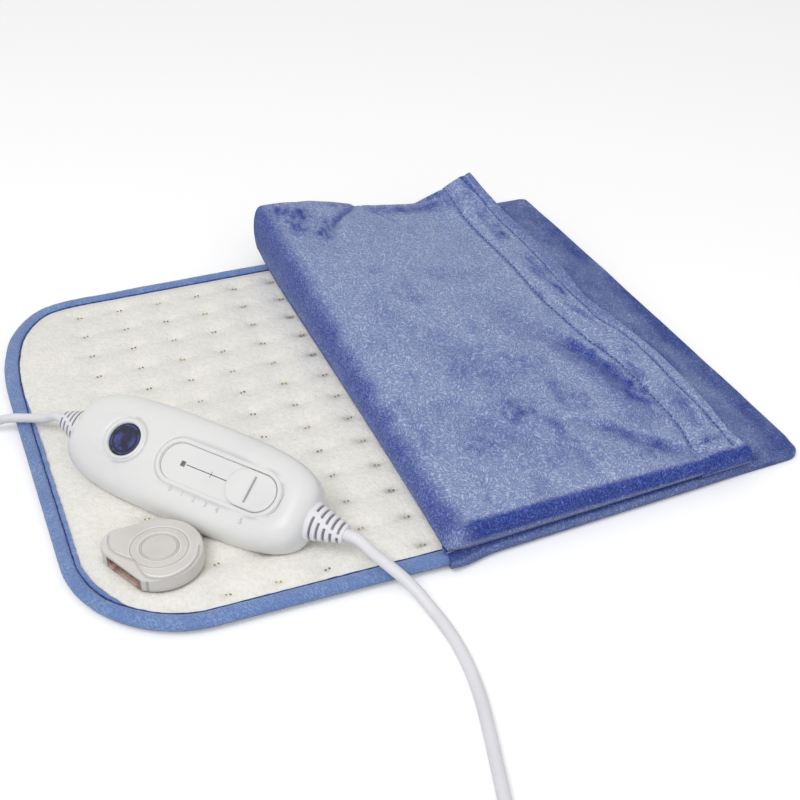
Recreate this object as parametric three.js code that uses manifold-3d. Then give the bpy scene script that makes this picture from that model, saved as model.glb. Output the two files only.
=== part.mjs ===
// An electric heating pad with its slide-switch controller and its plush cover.
// Lengths are in millimetres and +Z is up. The pad lies on the floor at z = 0.
import * as THREE from 'three';
import { mergeVertices } from 'three/addons/utils/BufferGeometryUtils.js';
import Module from 'manifold-3d';

const wasm = await Module();
wasm.setup();

// Clearances
const touchGap = 0.3;
const cutOverrun = 6;

// Pad. Its left edge and the covered part of its near edge lean a little inwards.
const padLeft = -3.4;
const padRight = 378;
const padNear = 4.2;
const padFar = 319.7;
const padLeftLean = 10.3;
const padNearLean = 12;
const padCornerRadius = 66;
const padCornerSteps = 8;
const bottomLayerThickness = 4.4;
const bottomFlangeThickness = 0.7;
const bottomPocketFloor = 2.7;
const heaterSheetThickness = 0.4;
const heaterSheetMargin = 18;
const heaterPocketMargin = 15;
const wireDiameter = 1.2;
const wireSides = 5;
const tuftThickness = 2;
const crownThickness = 4.5;
const marginThicknessShare = 0.86;
const topFlangeThickness = 2;
const tuftRows = 13;
const tuftRowPitch = 22.9;
const firstRowInset = 19.9;
const tuftColumns = 13;
const tuftColumnPitch = 25.3;
const firstColumnInset = 53;
const bindingWidth = 9.2;
const bindingLip = 0.9;
const bindingWall = 1.2;
const bindingRound = 2;

// Heating wire, laid back and forth under the top layer
const wireRuns = 8;
const wireRunPitch = 34.8;
const wireFirstRun = 40;
const wireLeftEnd = 66;
const wireRightEnd = 328;
const wireReturn = 34;
const cutoutLength = 14;
const cutoutWidth = 5;

// Cover: a bag over the pad's right end, with its mouth folded back on top
const coverMouth = 188;
const coverRight = 401;
const coverRightLean = 18;
const coverRightBow = 1.4;
const coverNearEdge = 1.2;
const coverFarEdge = 336;
const coverWall = 2.6;
const coverBottomPanel = 1.2;
const coverTopPanel = 2.6;
const coverEdgeRound = 4;
const coverCornerRadius = 17;
const cuffLeftNear = 186;
const cuffLeftFar = 177;
const cuffLeftBow = 1.5;
const cuffRight = 371;
const cuffHemLean = 17;
const cuffHemBow = 0.6;
const cuffTipPull = 15;
const cuffNearEdge = 4.5;
const cuffFarEdge = 338;
const cuffOverhangGap = 0.6;
const cuffRollNear = 20;
const cuffRollFar = 9;
const cuffSideRoll = 7;
const cuffHemThickness = 3.2;
const cuffFoldHeightNear = 23.4;
const cuffFoldHeightFar = 43;
const cuffHemHeightNear = 17.6;
const cuffHemHeightFar = 21;
const cuffTipRise = 20;
const cuffTipStartShare = 0.72;
const cuffTipSpreadShare = 0.11;
const cuffSag = 2.5;
const cuffCrease = 3;

// Controller, tipped on to one flat of its keel-shaped underside
const controllerX = 75.3;
const controllerY = 91.8;
const controllerTurnDegrees = -51.45;
const controllerTipDegrees = 32.4;
const controllerLength = 151;
const controllerWidth = 56;
const faceOverFlat = 26;
const shellWall = 2.2;
const partingDepth = 12;
const keelDepth = 28.3;
const crownInset = 14.5;
const keelInset = 12;
const outlinePower = 3.5;
const crownPower = 2.6;
const housingSides = 36;
const domeLevels = 7;
const lensInset = 37;
const lensDiameter = 18;
const lensThickness = 1.2;
const lensRecess = 0.6;
const lensSeatWidth = 1.4;
const lensRingWidth = 2.4;
const lensRingHeight = 0.8;
const lensToTrack = 25.1;
const trackEndInset = 17.7;
const trackWidth = 21.2;
const trackRecess = 1.4;
const trackThickness = 1.6;
const trackSeatWidth = 1.8;
const collarDepth = 4.9;
const slotWidth = 1.8;
const knobLength = 29.2;
const knobWidth = 20.4;
const knobHeight = 1.9;
const knobEndGap = 0.4;
const knobOffGap = 2.1;
const knobBevel = 0.5;
const ridgeLength = 15;
const ridgeWidth = 1.5;
const ridgeHeight = 0.7;
const stemLength = 3;
const stemThickness = 1.2;
const stemDepth = 4.2;
const carriageLength = 16;
const carriageWidth = 9;
const carriageHeight = 2.2;
const boardEndGap = 0.9;
const boardWidth = 38;
const boardThickness = 1.6;
const boardDepth = 12.8;
const switchEndWall = 4.25;
const switchWidth = 13;
const bossInset = 4;
const bossRadius = 3.2;
const screwHeadRadius = 2.4;
const screwHeadHeight = 1.8;
const screwShankRadius = 1.3;
const bossHoleRadius = 1.7;
const screwReach = 6;
const displayRadius = 7.2;
const fuseHeight = 5;
const triacHeight = 6;
const rowOffset = 13.4;

// Ribbed strain reliefs at the controller's two ends
const bootAxisDepth = 13.5;
const bootBaseWidth = 21;
const bootTipWidth = 10.6;
const bootFlatnessShare = 0.74;
const bootRibs = 5;
const bootRibDepth = 1.5;
const bootNeckWidth = 17;
const bootFlangeThickness = 2.2;
const bootFlangeRelief = 2.2;
const mainsBootLength = 14.5;
const padBootLength = 19;

// Socket on the pad for the pad lead's plug
const socketX = 52.5;
const socketY = 50;
const socketTurnDegrees = 27.7;
const socketRadius = 21.5;
const socketLobeX = -9.5;
const socketLobeY = 17.3;
const socketLobeRadius = 10.5;
const socketFace = -19.8;
const socketHeight = 11;
const socketBevel = 1.4;
const socketBaseThickness = 1.4;
const socketWall = 1.8;
const socketMouthWidth = 22;
const socketMouthHeight = 5.2;
const socketMouthDepth = 15;
const socketMouthY = 5.7;
const socketSlopeRun = 9;
const socketSlopeDrop = 2.4;
const socketRingRadius = 10.3;
const socketRingWidth = 0.8;
const socketRingDepth = 0.5;
const pinDiameter = 2.4;
const pinPitch = 6;
const pinReach = 7;
const pinRoot = 3;

// Leads and their plugs. Routes are lists of points from the pad's near left corner.
const mainsLeadDiameter = 5.2;
const padLeadDiameter = 6.2;
const leadSides = 8;
const coilSides = 6;
const coilStepsPerTurn = 24;
const coilPitchShare = 1.12;
const tieThickness = 1.2;
const tieWidth = 6;
const tieClearance = 0.4;
const mainsCoilX = -64;
const mainsCoilY = 167.4;
const mainsCoilTurnsInLayer = 2.5625;
const mainsCoilLayers = 4;
const mainsCoilDiametersAcross = 11.4;
const padCoilX = 116;
const padCoilY = -168;
const padCoilTurnsInLayer = 1.125;
const padCoilLayers = 2;
const padCoilDiametersAcross = 10.6;
const plugBodyLength = 36;
const plugBodyWidth = 35;
const plugNeckWidth = 13;
const plugThickness = 13;
const plugBootLength = 24;
const plugPinDiameter = 4;
const plugPinReach = 19;
const plugPinSpacing = 18.6;
const couplingBodyLength = 26;
const couplingBodyWidth = 26;
const couplingThickness = 9;
const couplingTongueLength = 14;
const couplingTongueWidth = 21;
const couplingTongueHeight = 4.6;
const couplingBootLength = 20;
const mainsPlugY = 106;
const couplingX = 58;
const plugBootSides = 10;
const bootSides = 12;

// Heights that follow from the layers
const floorRelief = coverBottomPanel + touchGap;
const heaterSheetBase = bottomPocketFloor + touchGap;
const wireHeight = heaterSheetBase + heaterSheetThickness + touchGap + wireDiameter / 2;
const heaterPocketTop = wireHeight + wireDiameter / 2 + touchGap;
const topLayerBase = bottomLayerThickness + touchGap;
const tuftHeight = heaterPocketTop + tuftThickness;
const crownHeight = heaterPocketTop + crownThickness;
const bindingBase = bottomLayerThickness - bottomFlangeThickness - touchGap - bindingLip;
const bindingTop = topLayerBase + topFlangeThickness + touchGap + bindingLip;
const layerInset = bindingRound + touchGap;
const pocketTop = crownHeight + touchGap;
const coverTop = pocketTop + coverTopPanel;

// Places along the controller, which follow from its length
const lensX = lensInset - controllerLength / 2;
const trackLeft = lensX + lensToTrack;
const trackRight = controllerLength / 2 - trackEndInset;
const trackLength = trackRight - trackLeft;
const trackX = (trackLeft + trackRight) / 2;
const knobX = trackRight - knobEndGap - knobLength / 2;
const sliderTravel = trackLength - knobLength - knobEndGap - knobOffGap;
const switchLength = sliderTravel + carriageLength + 2 * switchEndWall;
const bootInside = shellWall + bootFlangeRelief + bootFlangeThickness;
const boardLength = controllerLength - 2 * (bootInside + boardEndGap);
const bossOffset = boardLength / 2 - bossInset;

const colours = {
  fleece: 0xf3f0e4,
  lining: 0xe9e5d8,
  binding: 0x4a6fa8,
  plush: 0x5672b8,
  plushInside: 0x62779f,
  whitePlastic: 0xf0f0ef,
  socketGrey: 0xc9c9c6,
  lensBlue: 0x1c2450,
  copper: 0xb87346,
  steel: 0xb4b6b8,
  brass: 0xc2a15a,
  board: 0x2f6b48,
  dark: 0x33343a,
  tie: 0xe6e6e2,
};

function material(colour, roughness, metalness = 0) {
  return new THREE.MeshStandardMaterial({ color: colour, roughness, metalness });
}

// Solid modelling helpers

function closed(geometry) {
  const bare = geometry.index ? geometry.toNonIndexed() : geometry.clone();
  bare.deleteAttribute('normal');
  bare.deleteAttribute('uv');
  return mergeVertices(bare, 1e-4);
}

function solid(geometry) {
  const merged = closed(geometry);
  return new wasm.Manifold(new wasm.Mesh({
    numProp: 3,
    vertProperties: new Float32Array(merged.attributes.position.array),
    triVerts: new Uint32Array(merged.index.array),
  }));
}

function geometryOf(body) {
  const mesh = body.asOriginal().getMesh();
  const geometry = new THREE.BufferGeometry();
  geometry.setAttribute('position', new THREE.BufferAttribute(new Float32Array(mesh.vertProperties), 3));
  geometry.setIndex(new THREE.BufferAttribute(new Uint32Array(mesh.triVerts), 1));
  geometry.computeVertexNormals();
  return geometry;
}

function join(...geometries) {
  return geometryOf(geometries.map(solid).reduce((whole, piece) => whole.add(piece)));
}

function cut(geometry, ...tools) {
  return geometryOf(tools.map(solid).reduce((whole, tool) => whole.subtract(tool), solid(geometry)));
}

function common(geometry, other) {
  return geometryOf(solid(geometry).intersect(solid(other)));
}

function block(x0, x1, y0, y1, z0, z1) {
  const box = new THREE.BoxGeometry(x1 - x0, y1 - y0, z1 - z0);
  return box.translate((x0 + x1) / 2, (y0 + y1) / 2, (z0 + z1) / 2);
}

function prism(outline, z0, z1) {
  const shape = new THREE.Shape(outline);
  const body = new THREE.ExtrudeGeometry(shape, { depth: z1 - z0, bevelEnabled: false });
  return body.translate(0, 0, z0);
}

// A prism whose outline is drawn in (y, z) and which runs along X
function prismAlongX(outline, x0, x1) {
  const body = prism(outline, 0, x1 - x0);
  const turn = new THREE.Matrix4().makeBasis(
    new THREE.Vector3(0, 1, 0),
    new THREE.Vector3(0, 0, 1),
    new THREE.Vector3(1, 0, 0),
  );
  return body.applyMatrix4(turn).translate(x0, 0, 0);
}

function discAt(x, y, z0, z1, radius, sides = 28) {
  const disc = new THREE.CylinderGeometry(radius, radius, z1 - z0, sides);
  return disc.rotateX(Math.PI / 2).translate(x, y, (z0 + z1) / 2);
}

// The points of a shape of full width and length with four round corners
function roundedOutline(x0, x1, y0, y1, radius, steps) {
  const corners = [
    [x1 - radius, y0 + radius, -Math.PI / 2],
    [x1 - radius, y1 - radius, 0],
    [x0 + radius, y1 - radius, Math.PI / 2],
    [x0 + radius, y0 + radius, Math.PI],
  ];
  const points = [];
  for (const [x, y, start] of corners) {
    for (let step = 0; step <= steps; step += 1) {
      const angle = start + (step / steps) * (Math.PI / 2);
      points.push(new THREE.Vector2(x + radius * Math.cos(angle), y + radius * Math.sin(angle)));
    }
  }
  return points;
}

function stadium(centreX, length, width, steps = 9) {
  const round = width / 2;
  return roundedOutline(centreX - length / 2, centreX + length / 2, -round, round, round, steps)
    .filter((point, index, all) => point.distanceTo(all[(index + 1) % all.length]) > touchGap / 10);
}

// A closed skin over rings of equally many points, capped flat at both ends
function skinOf(rings) {
  const count = rings[0].length;
  const positions = [];
  const indices = [];
  for (const ring of rings) {
    for (const point of ring) positions.push(point.x, point.y, point.z);
  }
  for (let ring = 0; ring + 1 < rings.length; ring += 1) {
    for (let side = 0; side < count; side += 1) {
      const a = ring * count + side;
      const b = ring * count + ((side + 1) % count);
      indices.push(a, b, b + count, a, b + count, a + count);
    }
  }
  for (const [first, flip] of [[0, true], [(rings.length - 1) * count, false]]) {
    const middle = positions.length / 3;
    const centre = new THREE.Vector3();
    for (let side = 0; side < count; side += 1) {
      centre.add(rings[first / count][side]);
    }
    centre.divideScalar(count);
    positions.push(centre.x, centre.y, centre.z);
    for (let side = 0; side < count; side += 1) {
      const a = first + side;
      const b = first + ((side + 1) % count);
      if (flip) indices.push(middle, b, a);
      else indices.push(middle, a, b);
    }
  }
  const geometry = new THREE.BufferGeometry();
  geometry.setAttribute('position', new THREE.Float32BufferAttribute(positions, 3));
  geometry.setIndex(indices);
  geometry.computeVertexNormals();
  return geometry;
}

// Moves each corner of a closed outline outwards, so that its sides move by the distance given
function grown(outline, distance) {
  const count = outline.length;
  return outline.map((point, index) => {
    const arriving = point.clone().sub(outline[(index + count - 1) % count]).normalize();
    const leaving = outline[(index + 1) % count].clone().sub(point).normalize();
    const along = arriving.add(leaving).normalize();
    const reach = distance / along.dot(leaving);
    return new THREE.Vector2(point.x + along.y * reach, point.y - along.x * reach);
  });
}

// A closed section carried round a closed outline
function bandRound(outline, section) {
  const centres = outline.length;
  const positions = [];
  const indices = [];
  const tracks = section.map(([out, up]) => grown(outline, out).map((point) => [point.x, point.y, up]));
  for (let ring = 0; ring < centres; ring += 1) {
    for (const track of tracks) positions.push(...track[ring]);
  }
  const count = section.length;
  for (let ring = 0; ring < centres; ring += 1) {
    const next = (ring + 1) % centres;
    for (let side = 0; side < count; side += 1) {
      const turn = (side + 1) % count;
      const corners = [ring * count + side, next * count + side, next * count + turn, ring * count + turn];
      indices.push(corners[0], corners[1], corners[2], corners[0], corners[2], corners[3]);
    }
  }
  const geometry = new THREE.BufferGeometry();
  geometry.setAttribute('position', new THREE.Float32BufferAttribute(positions, 3));
  geometry.setIndex(indices);
  geometry.computeVertexNormals();
  return geometry;
}

// A tube with a ring at each point of a route that lies nearly level
function woundTube(points, radius, sides) {
  const up = new THREE.Vector3(0, 0, 1);
  const rings = points.map((point, index) => {
    const before = points[Math.max(index - 1, 0)];
    const after = points[Math.min(index + 1, points.length - 1)];
    const along = after.clone().sub(before).normalize();
    const across = along.clone().cross(up).normalize();
    const lift = across.clone().cross(along);
    const ring = [];
    for (let side = 0; side < sides; side += 1) {
      const angle = ((side + 0.5) / sides) * 2 * Math.PI;
      ring.push(point.clone()
        .addScaledVector(across, radius * Math.cos(angle))
        .addScaledVector(lift, radius * Math.sin(angle)));
    }
    return ring;
  });
  return skinOf(rings.reverse());
}

// A tube along a smooth curve through chosen points
function leadTube(points, radius, steps) {
  const section = new THREE.Shape();
  section.absarc(0, 0, radius, 0, 2 * Math.PI);
  return new THREE.ExtrudeGeometry(new THREE.Shape(section.getPoints(leadSides / 2).slice(0, -1)), {
    steps,
    extrudePath: new THREE.CatmullRomCurve3(points, false, 'centripetal'),
    bevelEnabled: false,
  });
}

const part = new THREE.Group();
part.position.set(
  -(padLeft + coverRight) / 2,
  -(coverNearEdge + cuffFarEdge) / 2,
  0,
);

function add(name, geometry, finish, parent = part) {
  const mesh = new THREE.Mesh(geometry, finish);
  mesh.name = name;
  parent.add(mesh);
  return mesh;
}

// Pad

// Moves a point of a true rectangle to where the leaning edges put it
function leant(x, y) {
  const nearness = (padFar - y) / (padFar - padNear);
  if (x < coverMouth) {
    const outwards = (coverMouth - x) / (coverMouth - padLeft);
    return [x + padLeftLean * nearness * outwards, y];
  }
  const outwards = (x - coverMouth) / (padRight - coverMouth);
  return [x, y + padNearLean * nearness * outwards];
}

function padOutline(inset) {
  const points = roundedOutline(padLeft, padRight, padNear, padFar, padCornerRadius, padCornerSteps);
  points.push(new THREE.Vector2(coverMouth, padNear));
  return grown(points.map((point) => new THREE.Vector2(...leant(point.x, point.y))), -inset);
}

// The space that the binding's lips take, with a gap, below or above the given height
function lipSpace(z0, z1) {
  const outer = padOutline(-touchGap);
  const ring = prism(outer, z0, z1);
  return cut(ring, prism(padOutline(bindingWidth + touchGap), z0 - cutOverrun, z1 + cutOverrun));
}

function bottomLayer() {
  const slab = prism(padOutline(layerInset), 0, bottomLayerThickness);
  const flangeBase = bottomLayerThickness - bottomFlangeThickness;
  const underCover = block(
    coverMouth - coverCornerRadius,
    padRight + cutOverrun,
    0,
    padFar + cutOverrun,
    -cutOverrun,
    floorRelief,
  );
  const pocket = prism(padOutline(heaterPocketMargin), bottomPocketFloor, heaterPocketTop);
  return cut(slab, lipSpace(-cutOverrun, flangeBase), underCover, pocket);
}

// Height of the quilted face: low at each tuft, highest in the middle of four
function quiltHeight(column, row) {
  const onColumn = column >= 0 && column % 2 === 0;
  const onRow = row >= 0 && row % 2 === 0;
  const beyond = column < -1 || row < 0 || row > 2 * (tuftRows - 1);
  if (beyond) return heaterPocketTop + crownThickness * marginThicknessShare;
  if (onColumn && onRow) return tuftHeight;
  if (onColumn || onRow) return (tuftHeight + crownHeight) / 2;
  return crownHeight;
}

function topLayer() {
  const halfColumn = tuftColumnPitch / 2;
  const halfRow = tuftRowPitch / 2;
  const across = [];
  for (let column = -4; column <= 2 * tuftColumns - 1; column += 1) {
    across.push([column, firstColumnInset + column * halfColumn]);
  }
  across[0][1] = padLeft - cutOverrun;
  across[across.length - 1][1] = padRight + cutOverrun;
  const along = [];
  for (let row = -1; row <= 2 * tuftRows - 1; row += 1) {
    along.push([row, firstRowInset + row * halfRow]);
  }
  along[0][1] = padNear - cutOverrun;
  along[along.length - 1][1] = padFar + cutOverrun;
  const slab = new THREE.BoxGeometry(1, 1, 1, across.length - 1, along.length - 1, 1);
  const position = slab.attributes.position;
  for (let vertex = 0; vertex < position.count; vertex += 1) {
    const [column, x] = across[Math.round((position.getX(vertex) + 0.5) * (across.length - 1))];
    const [row, y] = along[Math.round((position.getY(vertex) + 0.5) * (along.length - 1))];
    const top = position.getZ(vertex) > 0;
    position.setXYZ(vertex, x, y, top ? quiltHeight(column, row) : -cutOverrun);
  }
  const flangeTop = topLayerBase + topFlangeThickness;
  const trimmed = common(slab, prism(padOutline(layerInset), topLayerBase, crownHeight + cutOverrun));
  const pocket = prism(padOutline(heaterPocketMargin), -cutOverrun, heaterPocketTop);
  return cut(trimmed, lipSpace(flangeTop, crownHeight + cutOverrun), pocket);
}

function bindingBand() {
  const inner = -bindingWidth;
  const wall = -bindingWall;
  const round = bindingRound;
  const corner = round * (1 - Math.SQRT1_2);
  const section = [
    [inner, bindingBase],
    [-round, bindingBase],
    [-corner, bindingBase + corner],
    [0, bindingBase + round],
    [0, bindingTop - round],
    [-corner, bindingTop - corner],
    [-round, bindingTop],
    [inner, bindingTop],
    [inner, bindingTop - bindingLip],
    [-round, bindingTop - bindingLip],
    [wall, bindingTop - round],
    [wall, bindingBase + round],
    [-round, bindingBase + bindingLip],
    [inner, bindingBase + bindingLip],
  ];
  return bandRound(padOutline(0), section);
}

function heaterSheet() {
  const top = heaterSheetBase + heaterSheetThickness;
  return prism(padOutline(heaterSheetMargin), heaterSheetBase, top);
}

// The wire runs back and forth from under the socket and comes back along the left margin
function heatingWire() {
  const points = [];
  const turn = wireRunPitch / 2;
  const arcSteps = 5;
  for (let run = 0; run < wireRuns; run += 1) {
    const y = wireFirstRun + run * wireRunPitch;
    const rightwards = run % 2 === 0;
    const start = rightwards ? wireLeftEnd : wireRightEnd;
    const end = rightwards ? wireRightEnd : wireLeftEnd;
    points.push(new THREE.Vector3(start, y, wireHeight));
    points.push(new THREE.Vector3(end, y, wireHeight));
    if (run + 1 === wireRuns) break;
    for (let step = 1; step < arcSteps; step += 1) {
      const angle = -Math.PI / 2 + (step / arcSteps) * Math.PI;
      const x = end + (rightwards ? turn : -turn) * Math.cos(angle);
      points.push(new THREE.Vector3(x, y + turn + turn * Math.sin(angle), wireHeight));
    }
  }
  const lastRun = wireFirstRun + (wireRuns - 1) * wireRunPitch;
  const bend = wireLeftEnd - wireReturn;
  for (let step = 1; step <= arcSteps; step += 1) {
    const angle = Math.PI / 2 + (step / arcSteps) * (Math.PI / 2);
    points.push(new THREE.Vector3(
      wireLeftEnd + bend * Math.cos(angle),
      lastRun - bend + bend * Math.sin(angle),
      wireHeight,
    ));
  }
  points.push(new THREE.Vector3(wireReturn, socketY + bend, wireHeight));
  for (let step = 1; step <= arcSteps; step += 1) {
    const angle = Math.PI + (step / arcSteps) * (Math.PI / 2);
    points.push(new THREE.Vector3(
      wireReturn + bend + bend * Math.cos(angle),
      socketY + bend + bend * Math.sin(angle),
      wireHeight,
    ));
  }
  return woundTube(points, wireDiameter / 2, wireSides);
}

function thermalCutout() {
  const x = wireReturn + wireDiameter + cutoutWidth / 2;
  const y = (padNear + padFar) / 2;
  const base = heaterSheetBase + heaterSheetThickness + touchGap;
  const shape = roundedOutline(
    x - cutoutWidth / 2,
    x + cutoutWidth / 2,
    y - cutoutLength / 2,
    y + cutoutLength / 2,
    cutoutWidth / 3,
    3,
  );
  return prism(shape, base, base + wireDiameter);
}

const fleece = material(colours.fleece, 0.95);
add('pad_top_layer', topLayer(), fleece);
add('pad_bottom_layer', bottomLayer(), material(colours.lining, 0.95));
add('heater_sheet', heaterSheet(), material(colours.lining, 0.9));
add('heating_wire', heatingWire(), material(colours.copper, 0.5));
add('thermal_cutout', thermalCutout(), material(colours.whitePlastic, 0.5));
add('pad_binding', bindingBand(), material(colours.binding, 0.9));

// Cover

// The bag in plan, with its right wall leaning in towards the far side
function coverPlan(left, right, near, far, radius) {
  const steps = 6;
  const wallShares = [0.25, 0.5, 0.75];
  const points = roundedOutline(left, right, near, far, radius, steps)
    .filter((point) => point.x > (left + right) / 2);
  const wall = wallShares.map((share) => {
    const y = THREE.MathUtils.lerp(near + radius, far - radius, share);
    return new THREE.Vector2(right, y);
  });
  points.splice(steps + 1, 0, ...wall);
  points.push(new THREE.Vector2(left, far));
  points.push(new THREE.Vector2(left, near));
  return points.map((point) => {
    const farness = (point.y - coverNearEdge) / (coverFarEdge - coverNearEdge);
    const [x, y] = leant(point.x, point.y);
    const lean = coverRightLean * Math.max(farness, 0) ** coverRightBow;
    return new THREE.Vector2(point.x > coverMouth ? x - lean : x, y);
  });
}

// The bag's side walls are round in section, so each level of it has its own plan
function coverBag() {
  const levels = 4;
  const rings = [];
  for (const [base, sense] of [[0, 1], [coverTop, -1]]) {
    const half = [];
    for (let level = 0; level <= levels; level += 1) {
      const angle = (level / levels) * (Math.PI / 2);
      const draw = coverEdgeRound * (1 - Math.sin(angle));
      const height = base + sense * coverEdgeRound * (1 - Math.cos(angle));
      half.push(coverPlan(
        coverMouth,
        coverRight - draw,
        coverNearEdge + draw,
        coverFarEdge - draw,
        coverCornerRadius - draw,
      ).map((point) => new THREE.Vector3(point.x, point.y, height)));
    }
    if (sense < 0) half.reverse();
    rings.push(...half);
  }
  const pocket = coverPlan(
    coverMouth - cutOverrun,
    coverRight - coverWall,
    coverNearEdge + coverWall,
    coverFarEdge - coverWall,
    coverCornerRadius - coverWall,
  );
  return cut(skinOf(rings), prism(pocket, coverBottomPanel, pocketTop));
}

function ease(share) {
  const held = Math.min(Math.max(share, 0), 1);
  return held * held * (3 - 2 * held);
}

function roll(share) {
  const held = Math.min(Math.max(share, 0), 1);
  return Math.sqrt(1 - (1 - held) * (1 - held));
}

function bump(share, centre, spread) {
  const away = (share - centre) / spread;
  return Math.exp(-away * away);
}

// Height of the folded flap's top at shares of its width and depth: a roll that grows towards
// the far side, a shallow crease beside it, and a far corner that the side seam holds up
function cuffCrest(s, t) {
  const fold = THREE.MathUtils.lerp(cuffFoldHeightNear, cuffFoldHeightFar, ease(t));
  const hem = THREE.MathUtils.lerp(cuffHemHeightNear, cuffHemHeightFar, t);
  const tipShare = Math.max(0, (s - cuffTipStartShare) / (1 - cuffTipStartShare));
  return THREE.MathUtils.lerp(fold, hem, ease(s))
    - cuffSag * bump(s, 0.5, 0.2) * bump(t, 1, 0.25)
    - cuffCrease * bump(s, 0.86, 0.07) * bump(t, 0.34, 0.2)
    + cuffTipRise * tipShare * bump(t, 1, cuffTipSpreadShare);
}

// The folded-back mouth of the cover, from its roll at the left to its hem at the right
function coverCuff() {
  const lip = coverMouth - 2 * touchGap;
  const rest = coverMouth - touchGap;
  const depth = cuffFarEdge - cuffNearEdge;
  const leftShares = [0, 0.3, 1];
  const rightShares = [0, 0.03, 0.08, 0.15, 0.24, 0.34, 0.45, 0.56, 0.66, 0.73, 0.8, 0.86, 0.93, 1];
  const across = leftShares.length + rightShares.length - 1;
  const alongShares = [
    0, 0.01, 0.025, 0.05, 0.13, 0.22, 0.32, 0.42, 0.52, 0.62, 0.72, 0.8, 0.87, 0.92, 0.96, 0.985, 1,
  ];
  const cuff = new THREE.BoxGeometry(1, 1, 1, across, alongShares.length - 1, 1);
  const position = cuff.attributes.position;
  for (let vertex = 0; vertex < position.count; vertex += 1) {
    const column = Math.round((position.getX(vertex) + 0.5) * across);
    const t = alongShares[Math.round((position.getY(vertex) + 0.5) * (alongShares.length - 1))];
    const overhang = column < leftShares.length;
    const left = THREE.MathUtils.lerp(cuffLeftNear, cuffLeftFar, t ** cuffLeftBow);
    const right = cuffRight - cuffHemLean * t ** cuffHemBow
      - cuffTipPull * bump(t, 1, cuffTipSpreadShare) * t;
    const s = overhang ? 0 : rightShares[column - leftShares.length];
    const straightX = overhang
      ? THREE.MathUtils.lerp(left, lip, leftShares[column])
      : THREE.MathUtils.lerp(rest, right, s);
    const under = overhang ? crownHeight + cuffOverhangGap : coverTop + touchGap;
    const rolled = roll((straightX - left) / THREE.MathUtils.lerp(cuffRollNear, cuffRollFar, t))
      * roll((t * depth) / cuffSideRoll)
      * roll(((1 - t) * depth) / (cuffSideRoll / 2));
    const raised = Math.max(under + cuffHemThickness, under + (cuffCrest(s, t) - under) * rolled);
    const [x, y] = leant(straightX, cuffNearEdge + t * depth);
    position.setXYZ(vertex, x, y, position.getZ(vertex) > 0 ? raised : under);
  }
  return closed(cuff);
}

const plush = material(colours.plush, 0.85);
add('cover_bag', coverBag(), material(colours.plushInside, 0.85));
add('cover_cuff', coverCuff(), plush);

// Controller, in its own frame: X along the housing, Z out of its face

const controllerFoot = new THREE.Group();
controllerFoot.position.set(controllerX, controllerY, crownHeight + touchGap + faceOverFlat);
controllerFoot.rotation.z = THREE.MathUtils.degToRad(controllerTurnDegrees);
const controller = new THREE.Group();
controller.rotation.x = THREE.MathUtils.degToRad(controllerTipDegrees);
controllerFoot.add(controller);
part.add(controllerFoot);

function housingRing(inset, height) {
  const ring = [];
  for (let side = 0; side < housingSides; side += 1) {
    const angle = ((side + 0.5) / housingSides) * 2 * Math.PI;
    const c = Math.cos(angle);
    const s = Math.sin(angle);
    const x = (controllerLength / 2 - inset) * Math.sign(c) * Math.abs(c) ** (2 / outlinePower);
    const y = (controllerWidth / 2 - inset) * Math.sign(s) * Math.abs(s) ** (2 / outlinePower);
    ring.push(new THREE.Vector3(x, y, height));
  }
  return ring;
}

// A dome over the housing's outline, from its rim to a flat top
function housingDome(rim, top, rimInset, topInset, power, levels) {
  const rings = [];
  for (let level = 0; level <= levels; level += 1) {
    const angle = (level / levels) * (Math.PI / 2);
    const rise = Math.sin(angle) ** (2 / power);
    const draw = 1 - Math.cos(angle) ** (2 / power);
    rings.push(housingRing(rimInset + (topInset - rimInset) * draw, rim + (top - rim) * rise));
  }
  if (top < rim) rings.reverse();
  return skinOf(rings);
}

const tip = THREE.MathUtils.degToRad(controllerTipDegrees);

// The two flats of the underside, as the ridge of a roof upside down
function keelPrism(inset) {
  const reach = controllerWidth;
  const flatAt = (y) => -(faceOverFlat - inset - Math.abs(y) * Math.sin(tip)) / Math.cos(tip);
  const outline = [
    new THREE.Vector2(-reach, flatAt(reach)),
    new THREE.Vector2(0, flatAt(0)),
    new THREE.Vector2(reach, flatAt(reach)),
    new THREE.Vector2(reach, controllerWidth),
    new THREE.Vector2(-reach, controllerWidth),
  ];
  return prismAlongX(outline, -controllerLength, controllerLength);
}

const outerCrown = housingDome(-partingDepth, 0, 0, crownInset, crownPower, domeLevels);
const innerCrown = join(
  housingDome(-partingDepth, -shellWall, shellWall, crownInset, crownPower, domeLevels - 3),
  skinOf([
    housingRing(shellWall, -partingDepth - cutOverrun),
    housingRing(shellWall, -partingDepth),
  ]),
);
const bottomRim = -partingDepth - touchGap;
const outerKeel = common(
  housingDome(bottomRim, -keelDepth, 0, keelInset, crownPower, domeLevels - 1),
  keelPrism(0),
);
const innerKeel = common(
  join(
    housingDome(bottomRim, -keelDepth + shellWall, shellWall, keelInset, crownPower, domeLevels - 3),
    skinOf([housingRing(shellWall, bottomRim), housingRing(shellWall, bottomRim + cutOverrun)]),
  ),
  keelPrism(shellWall),
);

function bootHole(side) {
  const hole = new THREE.CylinderGeometry(
    bootNeckWidth / 2 + touchGap,
    bootNeckWidth / 2 + touchGap,
    4 * cutOverrun,
    24,
  );
  hole.rotateZ(Math.PI / 2).scale(1, 1, bootFlatnessShare);
  return hole.translate(side * (controllerLength / 2), 0, -bootAxisDepth);
}

function trackSpace(grow, z0, z1) {
  return prism(stadium(trackX, trackLength + 2 * grow, trackWidth + 2 * grow), z0, z1);
}

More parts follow.
